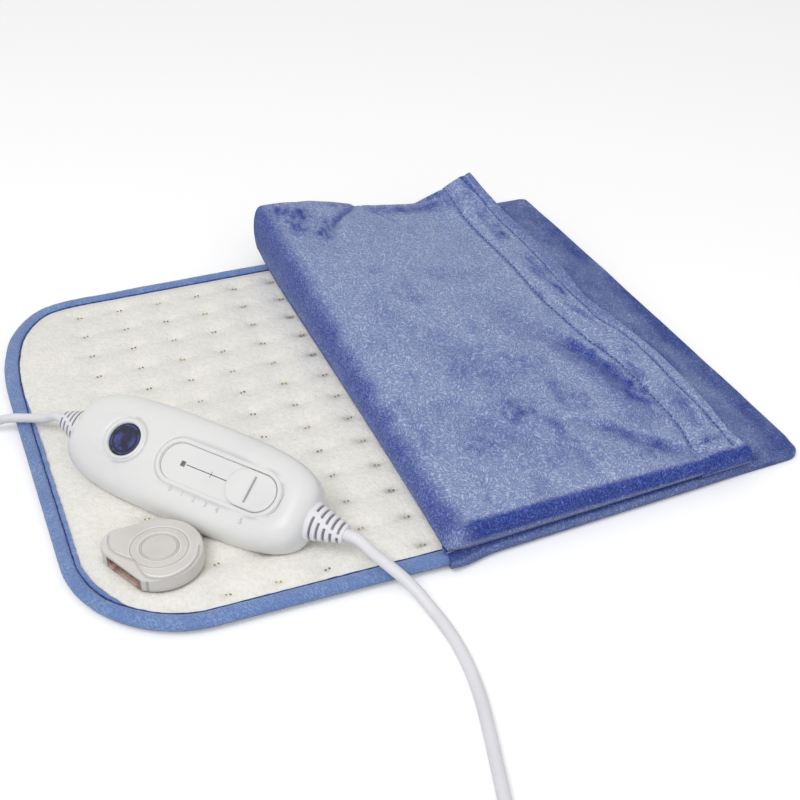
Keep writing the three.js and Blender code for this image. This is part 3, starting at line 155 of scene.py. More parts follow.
def wound(centre, diameter, across, turns_in_layer, layers, start, sense):
    """Points of a round coil, wound in and out in layers that lie on each other."""
    pitch = diameter * WINDING_PITCH
    reach = turns_in_layer * pitch
    turns = turns_in_layer * layers
    steps = round(turns * STEPS_A_TURN)
    points = []
    for step in range(steps + 1):
        turned = step / steps * turns
        layer = min(int(turned / turns_in_layer), layers - 1)
        share = turned / turns_in_layer - layer
        inwards = 1 - share if layer % 2 else share
        radius = diameter * across / 2 + reach / 2 - reach * inwards
        climbed = sum(eased((turned - k * turns_in_layer) / 0.5 + 0.5) for k in range(1, layers))
        angle = start + sense * turned * 2 * math.pi
        x, y = centre[0] + radius * math.cos(angle), centre[1] + radius * math.sin(angle)
        points.append(Vector((x, y, diameter / 2 + BAND_BELOW + climbed * pitch)))
    for end, before in ((0, 1), (-1, -2)):
        onwards = points[end] - points[before]
        onwards.z = 0
        point = points[end] + onwards.normalized() * diameter
        points.insert(0 if end == 0 else len(points), point)
    return points


def cable(name, points, diameter, looks):
    line = bpy.data.curves.new(name, "CURVE")
    line.dimensions = "3D"
    line.bevel_depth = diameter / 2000
    line.bevel_resolution = 5
    line.resolution_u = 5
    line.use_fill_caps = True
    spline = line.splines.new("BEZIER")
    spline.bezier_points.add(len(points) - 1)
    for at, point in zip(spline.bezier_points, points):
        at.co = metres(point)
        at.handle_left_type = at.handle_right_type = "AUTO"
    line.materials.append(looks)
    made = bpy.data.objects.new(name, line)
    scene.collection.objects.link(made)
    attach(made, "pad")
    return made


MAINS_DIAMETER = 5.2
PAD_LEAD_DIAMETER = 6.2
HALF_LENGTH = 75.5
MAINS_BOOT, PAD_BOOT = 14.5, 19
CABLE_HEIGHT = -13.5
TURNED, TIPPED = math.radians(-51.45), math.radians(32.4)
controller_place = (
    Matrix.Translation((75.3, 91.8, 36))
    @ Matrix.Rotation(TURNED, 4, "Z")
    @ Matrix.Rotation(TIPPED, 4, "X")
)
mains_exit = controller_place @ Vector((-HALF_LENGTH - MAINS_BOOT, 0, CABLE_HEIGHT))
pad_exit = controller_place @ Vector((HALF_LENGTH + PAD_BOOT, 0, CABLE_HEIGHT))
outwards = Vector((pad_exit.x - mains_exit.x, pad_exit.y - mains_exit.y, 0)).normalized()

mains_coil = wound(
    (-64, 167.4), MAINS_DIAMETER, across=11.4, turns_in_layer=2.5625, layers=4, start=math.pi / 2, sense=1
)
mains_x = mains_coil[-1].x
mains_points = [
    mains_exit + outwards * 3, mains_exit - outwards * 0.3, mains_exit - outwards * 5.2,
    (16.6, 177.2, 19.8), (6, 190.4, 13.6), (-3, 196.6, 11.4), (-11, 200.6, 8.2),
    (-19, 203.2, 4.6), (-30, 204.8, 3.2), (-44, 205.4, 3.6), *mains_coil,
    *[(mains_x, y, z) for y, z in ((146, 17.6), (134, 11), (122, 7.2), (111.2, 6.5), (105, 6.5))],
]
pad_coil = wound(
    (116, -168), PAD_LEAD_DIAMETER, across=10.6, turns_in_layer=1.125, layers=2, start=0, sense=-1
)
pad_y = pad_coil[-1].y
pad_points = [
    pad_exit - outwards * 3, pad_exit + outwards * 0.3, pad_exit + outwards * 6.2,
    (149.5, 10.2, 19.6), (157.4, 0.4, 13.8), (163, -8.5, 9.6), (167.6, -20, 5),
    (170.4, -34, 3.4), (171.2, -52, 3.2), (169, -76, 3.2), (164, -100, 3.3),
    (158.6, -122, 3.8), (154.6, -140, 4.4), *pad_coil,
    *[(x, pad_y, z) for x, z in ((92, 9.6), (76, 5.6), (64.2, 4.5), (57, 4.5))],
]
sheath = finish_of("cable_sheath", 0.42, CABLE_WHITE, Specular_IOR_Level=0.45)
surface(sheath, "Base Color", toned(sheath, 30, CABLE_WHITE, "DCDCE2", 0.35, 0.75, 4))
surface(sheath, "Normal", raised(sheath, grain(sheath, 14, 2), 0.12, 0.5, gritty(sheath, 0.8, 0.03)))
mains_cable = cable("mains_cable", mains_points, MAINS_DIAMETER, sheath)
pad_cable = cable("pad_cable", pad_points, PAD_LEAD_DIAMETER, sheath)
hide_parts("mains_lead", "mains_lead_coil", "mains_lead_tail")
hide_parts("pad_lead", "pad_lead_coil", "pad_lead_tail")

# Coil bands. A strip of soft plastic with a fine grain goes once round each coil's turns and
# is pressed shut. The bands keep the shapes of the CAD model.
band_looks = finish_of("coil_band", 0.62, "DADAD6", grit=(0.9, 0.12, 0.8, (1, 1, 0.33)))


def dress(looks, *names):
    """Gives a material to pieces that keep the CAD model's shape."""
    for name in names:
        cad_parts[name].data.materials.clear()
        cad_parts[name].data.materials.append(looks)


dress(band_looks, "mains_lead_tie", "pad_lead_tie")

# Quilted pad. Two layers of cream fleece over the heating wire, tufted through in rows
# 22.9 mm apart, so that the top dips at each tuft and swells between them.
PAD_LEFT, PAD_RIGHT, PAD_NEAR, PAD_FAR = -3.4, 378, 4.2, 319.7
PAD_CORNER = 66
COVER_MOUTH = 188
ROWS = COLUMNS = 13
ROW_PITCH, FIRST_ROW = 22.9, 19.9
COLUMN_PITCH, FIRST_COLUMN = 25.3, 53
CROWN, MARGIN, TUFT, SEWN_DOWN = 9.6, 9.0, 7.0, 6.7
FLEECE_EDGE, TAPE_COVERS, RISE_WIDTH = 3.4, 8.9, 9.5
LEFT_LEAN, NEAR_LEAN, NEAR_TUCK = 10.3, 12, 3.4


def leant(x, y):
    """The pad's left edge, and its near edge under the cover, lean inwards."""
    nearness = (PAD_FAR - y) / (PAD_FAR - PAD_NEAR)
    if x < COVER_MOUTH:
        return x + LEFT_LEAN * nearness * (COVER_MOUTH - x) / (COVER_MOUTH - PAD_LEFT), y
    return x, y + NEAR_LEAN * nearness * (x - COVER_MOUTH) / (PAD_RIGHT - COVER_MOUTH)


def bump(value, centre, spread):
    """1 at the centre and less and less on both sides."""
    return math.exp(-(((value - centre) / spread) ** 2))


def tucked_in(x, y):
    """The same lean, with the near edge drawn in inside the cover and the far left corner fuller."""
    leant_x, leant_y = leant(x, y)
    leant_y += NEAR_TUCK * eased((x - COVER_MOUTH - 2) / 26) * max(0, 1 - y / 90)
    out = Vector((x - PAD_LEFT - PAD_CORNER, y - PAD_FAR + PAD_CORNER))
    if out.x >= 0:
        return leant_x, leant_y
    angle = math.degrees(math.atan2(out.y, -out.x))
    swell = out.normalized() * (3 * bump(angle, 62, 15) - 3.2 * bump(angle, 14, 20))
    return leant_x + swell.x, leant_y + swell.y


def pad_line(step):
    """Points round the pad's edge, about a step apart."""
    left, right = PAD_LEFT + PAD_CORNER, PAD_RIGHT - PAD_CORNER
    near, far = PAD_NEAR + PAD_CORNER, PAD_FAR - PAD_CORNER
    turns = round(PAD_CORNER * math.pi / 2 / step)
    corners = []
    for x, y, start in ((right, near, -90), (right, far, 0), (left, far, 90), (left, near, 180)):
        angles = [math.radians(start + 90 * k / turns) for k in range(turns + 1)]
        corners.append([Vector((x + PAD_CORNER * math.cos(a), y + PAD_CORNER * math.sin(a))) for a in angles])
    points = []
    for corner, following in zip(corners, corners[1:] + corners[:1]):
        gap = following[0] - corner[-1]
        parts = max(1, round(gap.length / step))
        points += corner + [corner[-1] + gap * k / parts for k in range(1, parts)]
    return [Vector(tucked_in(*point)) for point in points]


pad_outline = pad_line(2.6)


def edge_distance(points, outline):
    """How far each point lies inside a closed outline, less than 0 outside it."""
    nearest = np.full(len(points), 1e9)
    inside = np.zeros(len(points), bool)
    for a, b in zip(outline, outline[1:] + outline[:1]):
        a, b = np.array(a), np.array(b)
        along = b - a
        share = np.clip((points - a) @ along / (along @ along), 0, 1)
        nearest = np.minimum(nearest, np.linalg.norm(points - a - share[:, None] * along, axis=1))
        crosses = (a[1] > points[:, 1]) != (b[1] > points[:, 1])
        if a[1] != b[1]:
            crossing = a[0] + (points[:, 1] - a[1]) / (b[1] - a[1]) * along[0]
            inside ^= crosses & (points[:, 0] < crossing)
    return np.where(inside, nearest, -nearest)


def piece(name, points, faces, body, looks, sharp=40, place=None):
    """A mesh from points in millimetres, smooth except where it turns sharply."""
    if place:
        points = [place @ Vector(point) for point in points]
    mesh = bpy.data.meshes.new(name)
    mesh.from_pydata([metres(point) for point in points], [], faces)
    mesh.shade_smooth()
    mesh.set_sharp_from_angle(angle=math.radians(sharp))
    mesh.materials.append(looks)
    made = bpy.data.objects.new(name, mesh)
    scene.collection.objects.link(made)
    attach(made, body)
    return made


def shaded(made, name, values):
    """Keeps a value for each point, which the piece's material reads with shade_of."""
    layer = made.data.attributes.new(name, "FLOAT", "POINT")
    layer.data.foreach_set("value", [float(value) for value in values])


def shade_of(material, name):
    return node(material, "Attribute", attribute_name=name).outputs["Fac"]


def lumpy(x, y, z):
    """Smooth noise, from about -1 to 1."""
    return noise.noise(Vector((x, y, z)))


def spots(across, along=0):
    """1 in the middle of a spot and less around it, for many points at once."""
    return np.exp(-(across ** 2 + along ** 2))


def quilted_pad(step=1.9):
    """Points and faces of the quilt, and how much painted shade darkens each point in the hollow of a tuft.
    """
    xs = np.arange(PAD_LEFT, PAD_RIGHT + step, step)
    ys = np.arange(PAD_NEAR, PAD_FAR + step, step)
    x, y = (part.ravel() for part in np.meshgrid(xs, ys))
    inset = edge_distance(np.column_stack([x, y]), pad_outline)
    column = np.clip(np.round((x - FIRST_COLUMN) / COLUMN_PITCH), 0, COLUMNS - 1)
    row = np.clip(np.round((y - FIRST_ROW) / ROW_PITCH), 0, ROWS - 1)
    across = x - FIRST_COLUMN - column * COLUMN_PITCH
    along = y - FIRST_ROW - row * ROW_PITCH
    pit = spots(across / 8, along / 5.2)
    dint = spots(across / 3.4, along / 2.4)
    valley = (0.6 * spots(along / 5.5) + 0.4 * spots(across / 6.5)) * (x > FIRST_COLUMN - COLUMN_PITCH / 3)
    lumps = np.array([lumpy(a / 23, b / 23, 0) for a, b in zip(x, y)])
    creases = np.array([lumpy(a / 7, b / 11, 4) for a, b in zip(x, y)])
    covered = np.clip((x - COVER_MOUTH + 18) / 14, 0, 1)
    top = MARGIN + (CROWN - MARGIN) * (1 - valley)
    top = top - (CROWN - TUFT) * (0.72 * pit + 0.28 * dint)
    top = top + (0.4 * lumps + 0.16 * creases) * (1 - 0.7 * covered)
    risen = np.clip((inset - TAPE_COVERS) / RISE_WIDTH, 0, 1)
    top = SEWN_DOWN + (top - SEWN_DOWN) * risen * risen * (3 - 2 * risen)
    top = top - 1.5 * np.clip((7.5 - inset) / 4, 0, 1)
    bottom = 0.25 + 1.3 * covered + 0.5 * pit + np.clip((9 - inset) / 5, 0, 1) * 2.6
    # Painted shade: a darker smudge in each tuft's hollow, deeper towards the cover whose shadow falls there.
    shade_streak = spots((across + 1.2 + 0.5 * along) / 4, (along + 0.2) / 1.9)
    painted_shade_strength = 0.08 + 0.5 * np.clip((x - 135) / 42, 0, 1)
    painted_shade = np.clip(painted_shade_strength * (0.7 * shade_streak + 0.5 * dint) * (1 + 0.8 * creases), 0, 1) * (risen > 0.5)
    kept = inset > FLEECE_EDGE
    count, width = len(x), len(xs)
    faces, filled = [], set()
    for a in range(count - width):
        corners = (a, a + 1, a + width + 1, a + width)
        if (a + 1) % width and kept[list(corners)].all():
            filled.add(a)
            faces += [corners, tuple(k + count for k in reversed(corners))]
    for a in filled:
        b, c, d = a + 1, a + width + 1, a + width
        for beside, start, end in ((a - width, a, b), (a + 1, b, c), (a + width, c, d), (a - 1, d, a)):
            if beside not in filled:
                faces.append((end, start, start + count, end + count))
    points = list(zip(x, y, top)) + list(zip(x, y, bottom))
    painted_shades = list(painted_shade) + [0.0] * count
    used = sorted({k for face in faces for k in face})
    renumbered = {k: at for at, k in enumerate(used)}
    faces = [tuple(renumbered[k] for k in face) for face in faces]
    return [points[k] for k in used], faces, [painted_shades[k] for k in used]


fleece = finish_of(
    "cream_fleece", 0.95, "E9E7DF", Sheen_Weight=0.25, Sheen_Roughness=0.6, Specular_IOR_Level=0.15
)
knitted = grain(fleece, 1.9, 2, (0.7, 1.5, 1), 0.35, 0.6)
flecked = ranged(fleece, grain(fleece, 0.9, 2), 0.36, 0.66)
tangled = ranged(fleece, grain(fleece, 4.2, 3, roughness=0.62), 0.36, 0.68)
cream = toned(fleece, 34, "FAF8F1", "F5F3EE", 0.35, 0.68, 4)
woolly = between(fleece, ranged(fleece, knitted, 0.3, 0.6, 0.22, 0), cream, "D6D1C2")
woolly = between(fleece, ranged(fleece, tangled, 0, 1, 0, 0.1), woolly, "D3CFC0")
# Painted shade: the tufts' hollows darken towards 8F8E8B.
surface(fleece, "Base Color", between(fleece, shade_of(fleece, "tuft_painted_shade"), woolly, "8F8E8B"))
tufty = raised(fleece, flecked, 0.25, 0.6)
surface(fleece, "Normal", raised(fleece, knitted, 0.45, 0.45, raised(fleece, tangled, 0.7, 0.4, tufty)))
points, faces, painted_shades = quilted_pad()
quilt = piece("quilted_pad", points, faces, "pad", fleece, 80)
shaded(quilt, "tuft_painted_shade", painted_shades)
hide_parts("pad_top_layer", "pad_bottom_layer")

# Tufting stitches. At each tuft a brown thread dips in and out of the fleece, which shows
# as two dots side by side.
DOTS_APART, DOTS_PROUD = 2.1, 0.22
TUFTED_FROM = 13


def around(count, start=0, sense=1):
    """The cosine and sine of evenly spaced angles round a circle."""
    angles = [start + sense * 2 * math.pi * k / count for k in range(count)]
    return [(math.cos(angle), math.sin(angle)) for angle in angles]


def lofted(rings, closed_rows=False, first_cap=False, last_cap=False, open_rings=False):
    """Points and faces of a skin over rings of equally many points."""
    size, rows = len(rings[0]), len(rings)
    points = [tuple(point) for ring in rings for point in ring]
    faces = []
    for row in range(rows if closed_rows else rows - 1):
        near, far = row * size, (row + 1) % rows * size
        for at in range(size - open_rings):
            beside = (at + 1) % size
            faces.append((near + at, near + beside, far + beside, far + at))
    if first_cap:
        faces.append(tuple(reversed(range(size))))
    if last_cap:
        faces.append(tuple(range((rows - 1) * size, rows * size)))
    return points, faces


def joined(*parts):
    """The points and faces of several shapes as one."""
    points, faces = [], []
    for more_points, more_faces in parts:
        first = len(points)
        points += list(more_points)
        faces += [tuple(k + first for k in face) for face in more_faces]
    return points, faces


def bead(x, y, z, half_x, half_y, half_z):
    """A small ellipsoid."""
    rings = []
    for level in range(4):
        tilt = math.pi * level / 3
        wide, deep, up = half_x * math.sin(tilt), half_y * math.sin(tilt), half_z * math.cos(tilt)
        rings.append([(x + wide * c, y + deep * s, z + up) for c, s in around(8, 0, -1)])
    return lofted(rings)


random.seed(4)
beads = []
for row in range(ROWS):
    for column in range(COLUMNS):
        x = FIRST_COLUMN + column * COLUMN_PITCH
        y = FIRST_ROW + row * ROW_PITCH
        if edge_distance(np.array([[x, y]]), pad_outline)[0] < TUFTED_FROM:
            continue
        tilt = random.uniform(-0.35, 0.35)
        for side in (-0.5, 0.5):
            size = random.uniform(0.42, 0.6)
            spot = (x + side * DOTS_APART, y + side * tilt * 2, TUFT + DOTS_PROUD)
            beads.append(bead(*spot, size * 1.2, size, 0.4))
thread_brown = finish_of("tuft_thread", 0.8, "85714A", (9, "7D6E3C", "BBA964"))
tufts = piece("tufting_stitches", *joined(*beads), "pad", thread_brown, 80)

# Binding. A blue brushed tape is folded over the pad's edge and sewn down through the
# fleece. Along the left side the tape's edge stands out beyond the stitches as a thin lip.
ROLL_SECTION = (
    (8.6, 4.4), (7, 3.3), (4.8, 2.8), (3, 2.6), (1.5, 2.8), (0.55, 3.4), (0.1, 4.3), (0, 5.2),
    (0.2, 6.2), (0.8, 7.2), (1.7, 8), (3, 8.55), (4.3, 8.65), (5.5, 8.4), (6.4, 7.9), (7, 7.2), (7.3, 6.6),
)
LIP_SECTION = ((7.6, 6.9), (8, 7.8), (8.6, 8.4), (9.3, 8.6), (9.8, 8.3), (10, 7.6), (9.6, 6.2))
LIP_GONE = (8.9, 6.2)
tape_line = pad_line(1.7)
tape_inwards = []
for before, after in zip(tape_line[-1:] + tape_line[:-1], tape_line[1:] + tape_line[:1]):
    along = (after - before).normalized()
    tape_inwards.append(Vector((-along.y, along.x)))


def blend(first, second, share):
    return first + (second - first) * share


def lip_share(point):
    """How much of the tape's lip shows: all of it on the left side, none elsewhere."""
    if point.x > 50:
        return 0
    return eased((point.y - 16) / 20) * eased((250 - point.y) / 80)


rings = []
for at, (inset, height) in enumerate(ROLL_SECTION + LIP_SECTION):
    ring = []
    in_lip = at >= len(ROLL_SECTION)
    for point, inwards in zip(tape_line, tape_inwards):
        share = lip_share(point)
        if in_lip:
            drawn = blend(LIP_GONE[0], inset, share)
            level = blend(LIP_GONE[1], height, share)
        else:
            drawn = inset * (1.19 - 0.19 * share)
            level = height
        rough = lumpy(point.x / 4, point.y / 4, drawn / 3)
        puffed = lumpy(point.x / 30, point.y / 30, 7)
        ragged = (0.55 if in_lip else 0.12) * lumpy(point.x / 3.5, point.y / 3.5, 2)
        spot = point + inwards * (drawn + ragged)
        ring.append((spot.x, spot.y, level + 0.13 * rough + 0.35 * puffed * (height > 6)))
    rings.append(ring)
brushed_blue = finish_of(
    "binding_tape", 0.9, "7288BC", Sheen_Weight=0.35, Sheen_Roughness=0.5, Specular_IOR_Level=0.12
)
fuzz = ranged(brushed_blue, grain(brushed_blue, 1.1, 3, (0.6, 1.4, 1), 0.6), 0.36, 0.64)
tape_blue = toned(brushed_blue, 14, "7894C8", "8EA8D4", 0.35, 0.65, 3)
surface(brushed_blue, "Base Color", between(brushed_blue, fuzz, "6A84BE", tape_blue))
surface(brushed_blue, "Normal", raised(brushed_blue, fuzz, 0.4, 0.7))
tape = piece("binding_tape", *lofted(rings, closed_rows=True), "pad", brushed_blue, 60)
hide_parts("pad_binding")

# Seam of the binding. Dark thread pulls the tape down on the fleece, in a sunk and
# slightly wandering line.
SEAM_INSET, SEAM_AT_LIP, SEAM_HEIGHT = 8.85, 1.35, 6.95
seam_rings = []
for c, s in around(6):
    ring = []
    for point, inwards in zip(tape_line, tape_inwards):
        wander = 0.3 * lumpy(point.x / 6, point.y / 6, 12)
        plump = 0.5 + 0.14 * lumpy(point.x / 2.5, point.y / 2.5, 5)
        drawn = SEAM_INSET - SEAM_AT_LIP * lip_share(point) + wander
        spot = point + inwards * (drawn + plump * c)
        ring.append((spot.x, spot.y, SEAM_HEIGHT + plump * s))
    seam_rings.append(ring)
seam_blue = finish_of("binding_seam", 0.9, "2B3E78", (1.6, "22336A", "3C5292"))
seam = piece("binding_seam", *lofted(seam_rings, closed_rows=True), "pad", seam_blue, 80)

# Pad socket. A heart-shaped housing of light grey plastic is sewn to the pad; the plug of
# the pad's lead goes into the mouth in its flat side. Its lid has moulded rings and a ridge.
SOCKET_RADIUS, SOCKET_HEIGHT = 21.5, 11
SOCKET_LOBE, LOBE_RADIUS = Vector((-9.5, 17.3)), 10.5
SOCKET_FACE, LID_ROUND = -19.8, 1.1
MOUTH_MIDDLE, MOUTH_WIDTH, MOUTH_LOW, MOUTH_HIGH = 4.1, 25.2, 1.5, 7.7
RING_LINES = ((8.8, 0.34), (9.8, 0.42), (14.4, 0.34))
socket_place = Matrix.Translation((52.5, 50, 10)) @ Matrix.Rotation(math.radians(27.7), 4, "Z")
lid_leans_to = Vector((-0.53, -0.85))


def socket_outline(inset):
    """The hull of a disc and a lobe, with its face cut flat."""
    points = []
    for c, s in around(260):
        out = Vector((c, s))
        if SOCKET_RADIUS >= SOCKET_LOBE.dot(out) + LOBE_RADIUS:
            points.append(out * (SOCKET_RADIUS - inset))
        else:
            points.append(SOCKET_LOBE + out * (LOBE_RADIUS - inset))
    dense = []
    for a, b in zip(points, points[1:] + points[:1]):
        parts = max(1, round((b - a).length / 0.7))
        dense += [a + (b - a) * k / parts for k in range(parts)]
    return [Vector((max(p.x, SOCKET_FACE + inset), p.y)) for p in dense]


def path_distance(point, path):
    """The distance from a point to a bent line."""
    least = 1e9
    for a, b in zip(path, path[1:]):
        along = b - a
        share = clamped((point - a).dot(along) / along.length_squared)
        least = min(least, (point - a - along * share).length)
    return least


def smooth_path(knots, per_gap=8):
    """Points of a smooth line through a few."""
    knots = [Vector(knot) for knot in knots]
    ends = [knots[0] * 2 - knots[1], *knots, knots[-1] * 2 - knots[-2]]
    path = []
    for a, b, c, d in zip(ends, ends[1:], ends[2:], ends[3:]):
        for k in range(per_gap):
            t = k / per_gap
            path.append((b * 2 + (c - a) * t + (a * 2 - b * 5 + c * 4 - d) * t ** 2
                         + (b * 3 - a - c * 3 + d) * t ** 3) / 2)
    return path + [knots[-1]]


lid_ridge = smooth_path((
    (-11.5, 25.6), (-15.6, 20.4), (-16.6, 14.3), (-15.5, 8.6), (-14.3, 3.2), (-14.9, -0.7), (-16.3, -7),
    (-15.3, -11.6), (-12, -15.8), (-6.6, -18.6), (0.7, -19.6), (8.6, -17.4), (14.2, -12.8),
))


def lid_height(x, y):
    """The socket's lid: crowned, lower over the mouth, with a ridge along it and rings on top."""
    point = Vector((x, y))
    out = point.length
    height = SOCKET_HEIGHT + 0.2 * (1 - (out / 26) ** 2)
    leaning = max(0, point.dot(lid_leans_to) / max(out, 1e-6))
    height -= 2.4 * leaning ** 0.7 * (max(0, out - 11) / 10) ** 1.7
    slope = max(0, (SOCKET_FACE + 6.5 - x + 0.05 * y) / 6.5)
    height -= 1.1 * min(slope, 1.2) ** 1.2
    height += bump(path_distance(point, lid_ridge), 0, 0.6)
    for radius, depth in RING_LINES:
        height -= depth * bump(out, radius, 0.26)
    return height


def triangulated(loops, loose=(), is_open=None):
    """Flat points and the faces between them, from loops of edges, loose points and open places."""
    flat, sides = [], []
    for loop in loops:
        first = len(flat)
        flat += loop
        sides += [(first + k, first + (k + 1) % len(loop)) for k in range(len(loop))]
    flat, _, faces = geometry.delaunay_2d_cdt(flat + list(loose), sides, [], 1, 1e-5)[:3]
    if is_open:
        middles = [sum((flat[k] for k in face), Vector((0, 0))) / len(face) for face in faces]
        faces = [face for face, middle in zip(faces, middles) if not is_open(middle)]
    return flat, faces


def filled_face(outline, height_at, spacing, lines=()):
    """A fine triangulated face inside an outline, at the height that a function gives."""
    low = [min(p[k] for p in outline) for k in (0, 1)]
    high = [max(p[k] for p in outline) for k in (0, 1)]
    row_gap = spacing * 0.87
    grid = []
    for row in range(int((high[1] - low[1]) / row_gap) + 1):
        start = low[0] + spacing / 2 * (row % 2)
        columns = range(int((high[0] - low[0]) / spacing) + 1)
        grid += [(start + spacing * k, low[1] + row_gap * row) for k in columns]
    grid = np.array(grid)
    grid = grid[edge_distance(grid, outline) > spacing * 0.55]
    flat, faces = triangulated([outline, *lines], [Vector(p) for p in grid])
    return [(p.x, p.y, height_at(p.x, p.y)) for p in flat], faces


def circle(radius, count, centre_x=0):
    return [Vector((centre_x + radius * c, radius * s)) for c, s in around(count)]


def socket_lid():
    """Points and faces of the lid: its side, open at the mouth, its rounded edge and its top."""
    walls = []
    top_edge = socket_outline(LID_ROUND)
    lip = [lid_height(p.x, p.y) for p in top_edge]
    for height in (1.2, MOUTH_LOW, 4, 6, MOUTH_HIGH):
        inset = 0.35 * (height < 1.4)
        walls.append([(p.x, p.y, min(height, top - 1.4)) for p, top in zip(socket_outline(inset), lip)])
    for level in range(7):
        turn = math.pi / 2 * level / 6
        ring = socket_outline(LID_ROUND * (1 - math.cos(turn)))
        rise = [min(8.6, top - LID_ROUND) for top in lip]
        walls.append([
            (p.x, p.y, base + (top - base) * math.sin(turn)) for p, base, top in zip(ring, rise, lip)
        ])
    points, faces = lofted(walls)
    open_faces = []
    for face in faces:
        middle = sum((Vector(points[k]) for k in face), Vector()) / 4
        in_mouth = abs(middle.y - MOUTH_MIDDLE) < MOUTH_WIDTH / 2 and MOUTH_LOW < middle.z < MOUTH_HIGH
        if not (in_mouth and middle.x < SOCKET_FACE + 1.4):
            open_faces.append(face)
    lines = [circle(radius + aside, 150) for radius, _ in RING_LINES for aside in (-0.45, -0.2, 0, 0.2, 0.45)]
    return joined((points, open_faces), filled_face(top_edge, lid_height, 0.55, lines))


def lid_shade(x, y, z):
    """How much painted shade darkens the lid at a point: in its ring lines, below its ridge on the near side
    and in its side seam.
    """
    if z < 8:
        return 0.95 * bump(y, -11.8, 0.5) * (x < -12)
    point = Vector((x, y))
    lines = sum(bump(point.length, radius, 0.3) for radius, _ in RING_LINES)
    below_ridge = path_distance(point + Vector((0.5, 0.9)), lid_ridge)
    return min(1, 0.6 * lines + 0.75 * bump(below_ridge, 0, 0.5))


def ridge_light(x, y, z):
    """How much painted highlight pales the lid at a point: along its ridge and the raised sides of its rings.
    """
    if z < 8:
        return 0
    point = Vector((x, y))
    rims = sum(bump(point.length, radius + 0.55, 0.25) for radius, _ in RING_LINES[1:])
    return min(1, bump(path_distance(point, lid_ridge), 0, 0.6) + 0.7 * rims)


grey_plastic = finish_of("socket_plastic", 0.45, "D0CDC9", grit=(0.5, 0.05), Specular_IOR_Level=0.4)
clean_grey = toned(grey_plastic, 22, "D8D5D1", "CECAC6", 0.35, 0.7, 3)
# Painted highlight pales the ridge and the rings' raised sides; painted shade darkens the ring lines, the
# ridge's near side and the side seam.
painted_highlight_grey = between(grey_plastic, shade_of(grey_plastic, "ridge_light"), clean_grey, "F6F4F2")
lid_painted_light = between(grey_plastic, shade_of(grey_plastic, "line_shade"), painted_highlight_grey, "A09C9C")
surface(grey_plastic, "Base Color", lid_painted_light)
points, faces = socket_lid()
lid = piece("socket_lid", points, faces, "pad", grey_plastic, 50, socket_place)
shaded(lid, "line_shade", [lid_shade(*point) for point in points])
shaded(lid, "ridge_light", [ridge_light(*point) for point in points])
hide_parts("socket_cover")

# Ring dots. Small raised dots of the lid's own grey plastic are moulded in a circle between
# its rings.
DOT_CIRCLE = 12.1
beads = []
for c, s in around(18):
    x, y = DOT_CIRCLE * c, DOT_CIRCLE * s
    beads.append(bead(x, y, lid_height(x, y), 0.42, 0.42, 0.2))
ring_dots = piece("socket_ring_dots", *joined(*beads), "pad", grey_plastic, 80, socket_place)

# Socket mouth. The walls of the plug's way in are coloured a darker pinkish brown in patches, with a step in
# their upper wall; three brass pins stand at its end.
left, right = MOUTH_MIDDLE - MOUTH_WIDTH / 2, MOUTH_MIDDLE + MOUTH_WIDTH / 2
mouth_rings = []
for depth, grow in ((-0.05, 0.5), (0.5, 0.1), (1, 0), (1.05, -0.5), (3.4, -0.55), (3.45, -0.2), (14.6, -0.3)):
    x, low, high = SOCKET_FACE + depth, MOUTH_LOW - grow, MOUTH_HIGH + grow
    mouth_rings.append([
        (x, left - grow, low), (x, right + grow, low), (x, right + grow, high), (x, left - grow, high)
    ])
mouth_looks = finish_of("mouth_plastic", 0.55, "B39C93", (5, "8F766C", "BBA59B", 0.4, 0.6, 3))
mouth = piece("socket_mouth", *lofted(mouth_rings, last_cap=True), "pad", mouth_looks, 20, socket_place)
brass = finish_of("pin_brass", 0.3, "B79A5C", grit=(0.6, 0.03, 0.5, (1, 0.17, 1)), Metallic=1.0)
dress(brass, "socket_pin_1", "socket_pin_2", "socket_pin_3")
dress(grey_plastic, "socket_base")

# Controller shells. Two mouldings of white ABS meet at a seam round the side. The lower one
# has a keel of two flats, and the controller rests tipped on one of them.
HALF_WIDTH, OUTLINE_POWER, CROWN_POWER = 28, 3.5, 2.6
SEAM_DEPTH, KEEL_DEPTH, FACE_INSET, FLAT_HALF = 12, 28.3, 14.5, 13.45
LENS_X, LENS_RADIUS = -38.5, 9
TRACK_X, TRACK_LENGTH, TRACK_WIDTH, TRACK_RECESS = 22.2, 71.2, 21.2, 1.4


def squared_ring(half_x, half_y, power, count, start=0):
    """Points round an outline between an ellipse and a rectangle."""
    return [
        (half_x * math.copysign(abs(c) ** (2 / power), c), half_y * math.copysign(abs(s) ** (2 / power), s))
        for c, s in around(count, start)
    ]


def housing_ring(inset, height):
    """The controller's outline, drawn in, at a height."""
    outline = squared_ring(HALF_LENGTH - inset, HALF_WIDTH - inset, OUTLINE_POWER, 200, math.pi / 200)
    return [(x, y, height) for x, y in outline]


def housing_dome(rim, top, top_inset, levels):
    """Rings from the controller's seam over its rounded side to a flat."""
    rings = []
    for level in range(levels + 1):
        turn = math.pi / 2 * level / levels
        inset = top_inset * (1 - math.cos(turn) ** (2 / CROWN_POWER))
        rings.append(housing_ring(inset, blend(rim, top, math.sin(turn) ** (2 / CROWN_POWER))))
    return rings


def track_distance(x, y):
    """How far a point lies outside the track's stadium, less than 0 inside it."""
    along = max(abs(x - TRACK_X) - (TRACK_LENGTH - TRACK_WIDTH) / 2, 0)
    return math.hypot(along, y) - TRACK_WIDTH / 2


def lens_distance(x, y):
    return math.hypot(x - LENS_X, y) - LENS_RADIUS


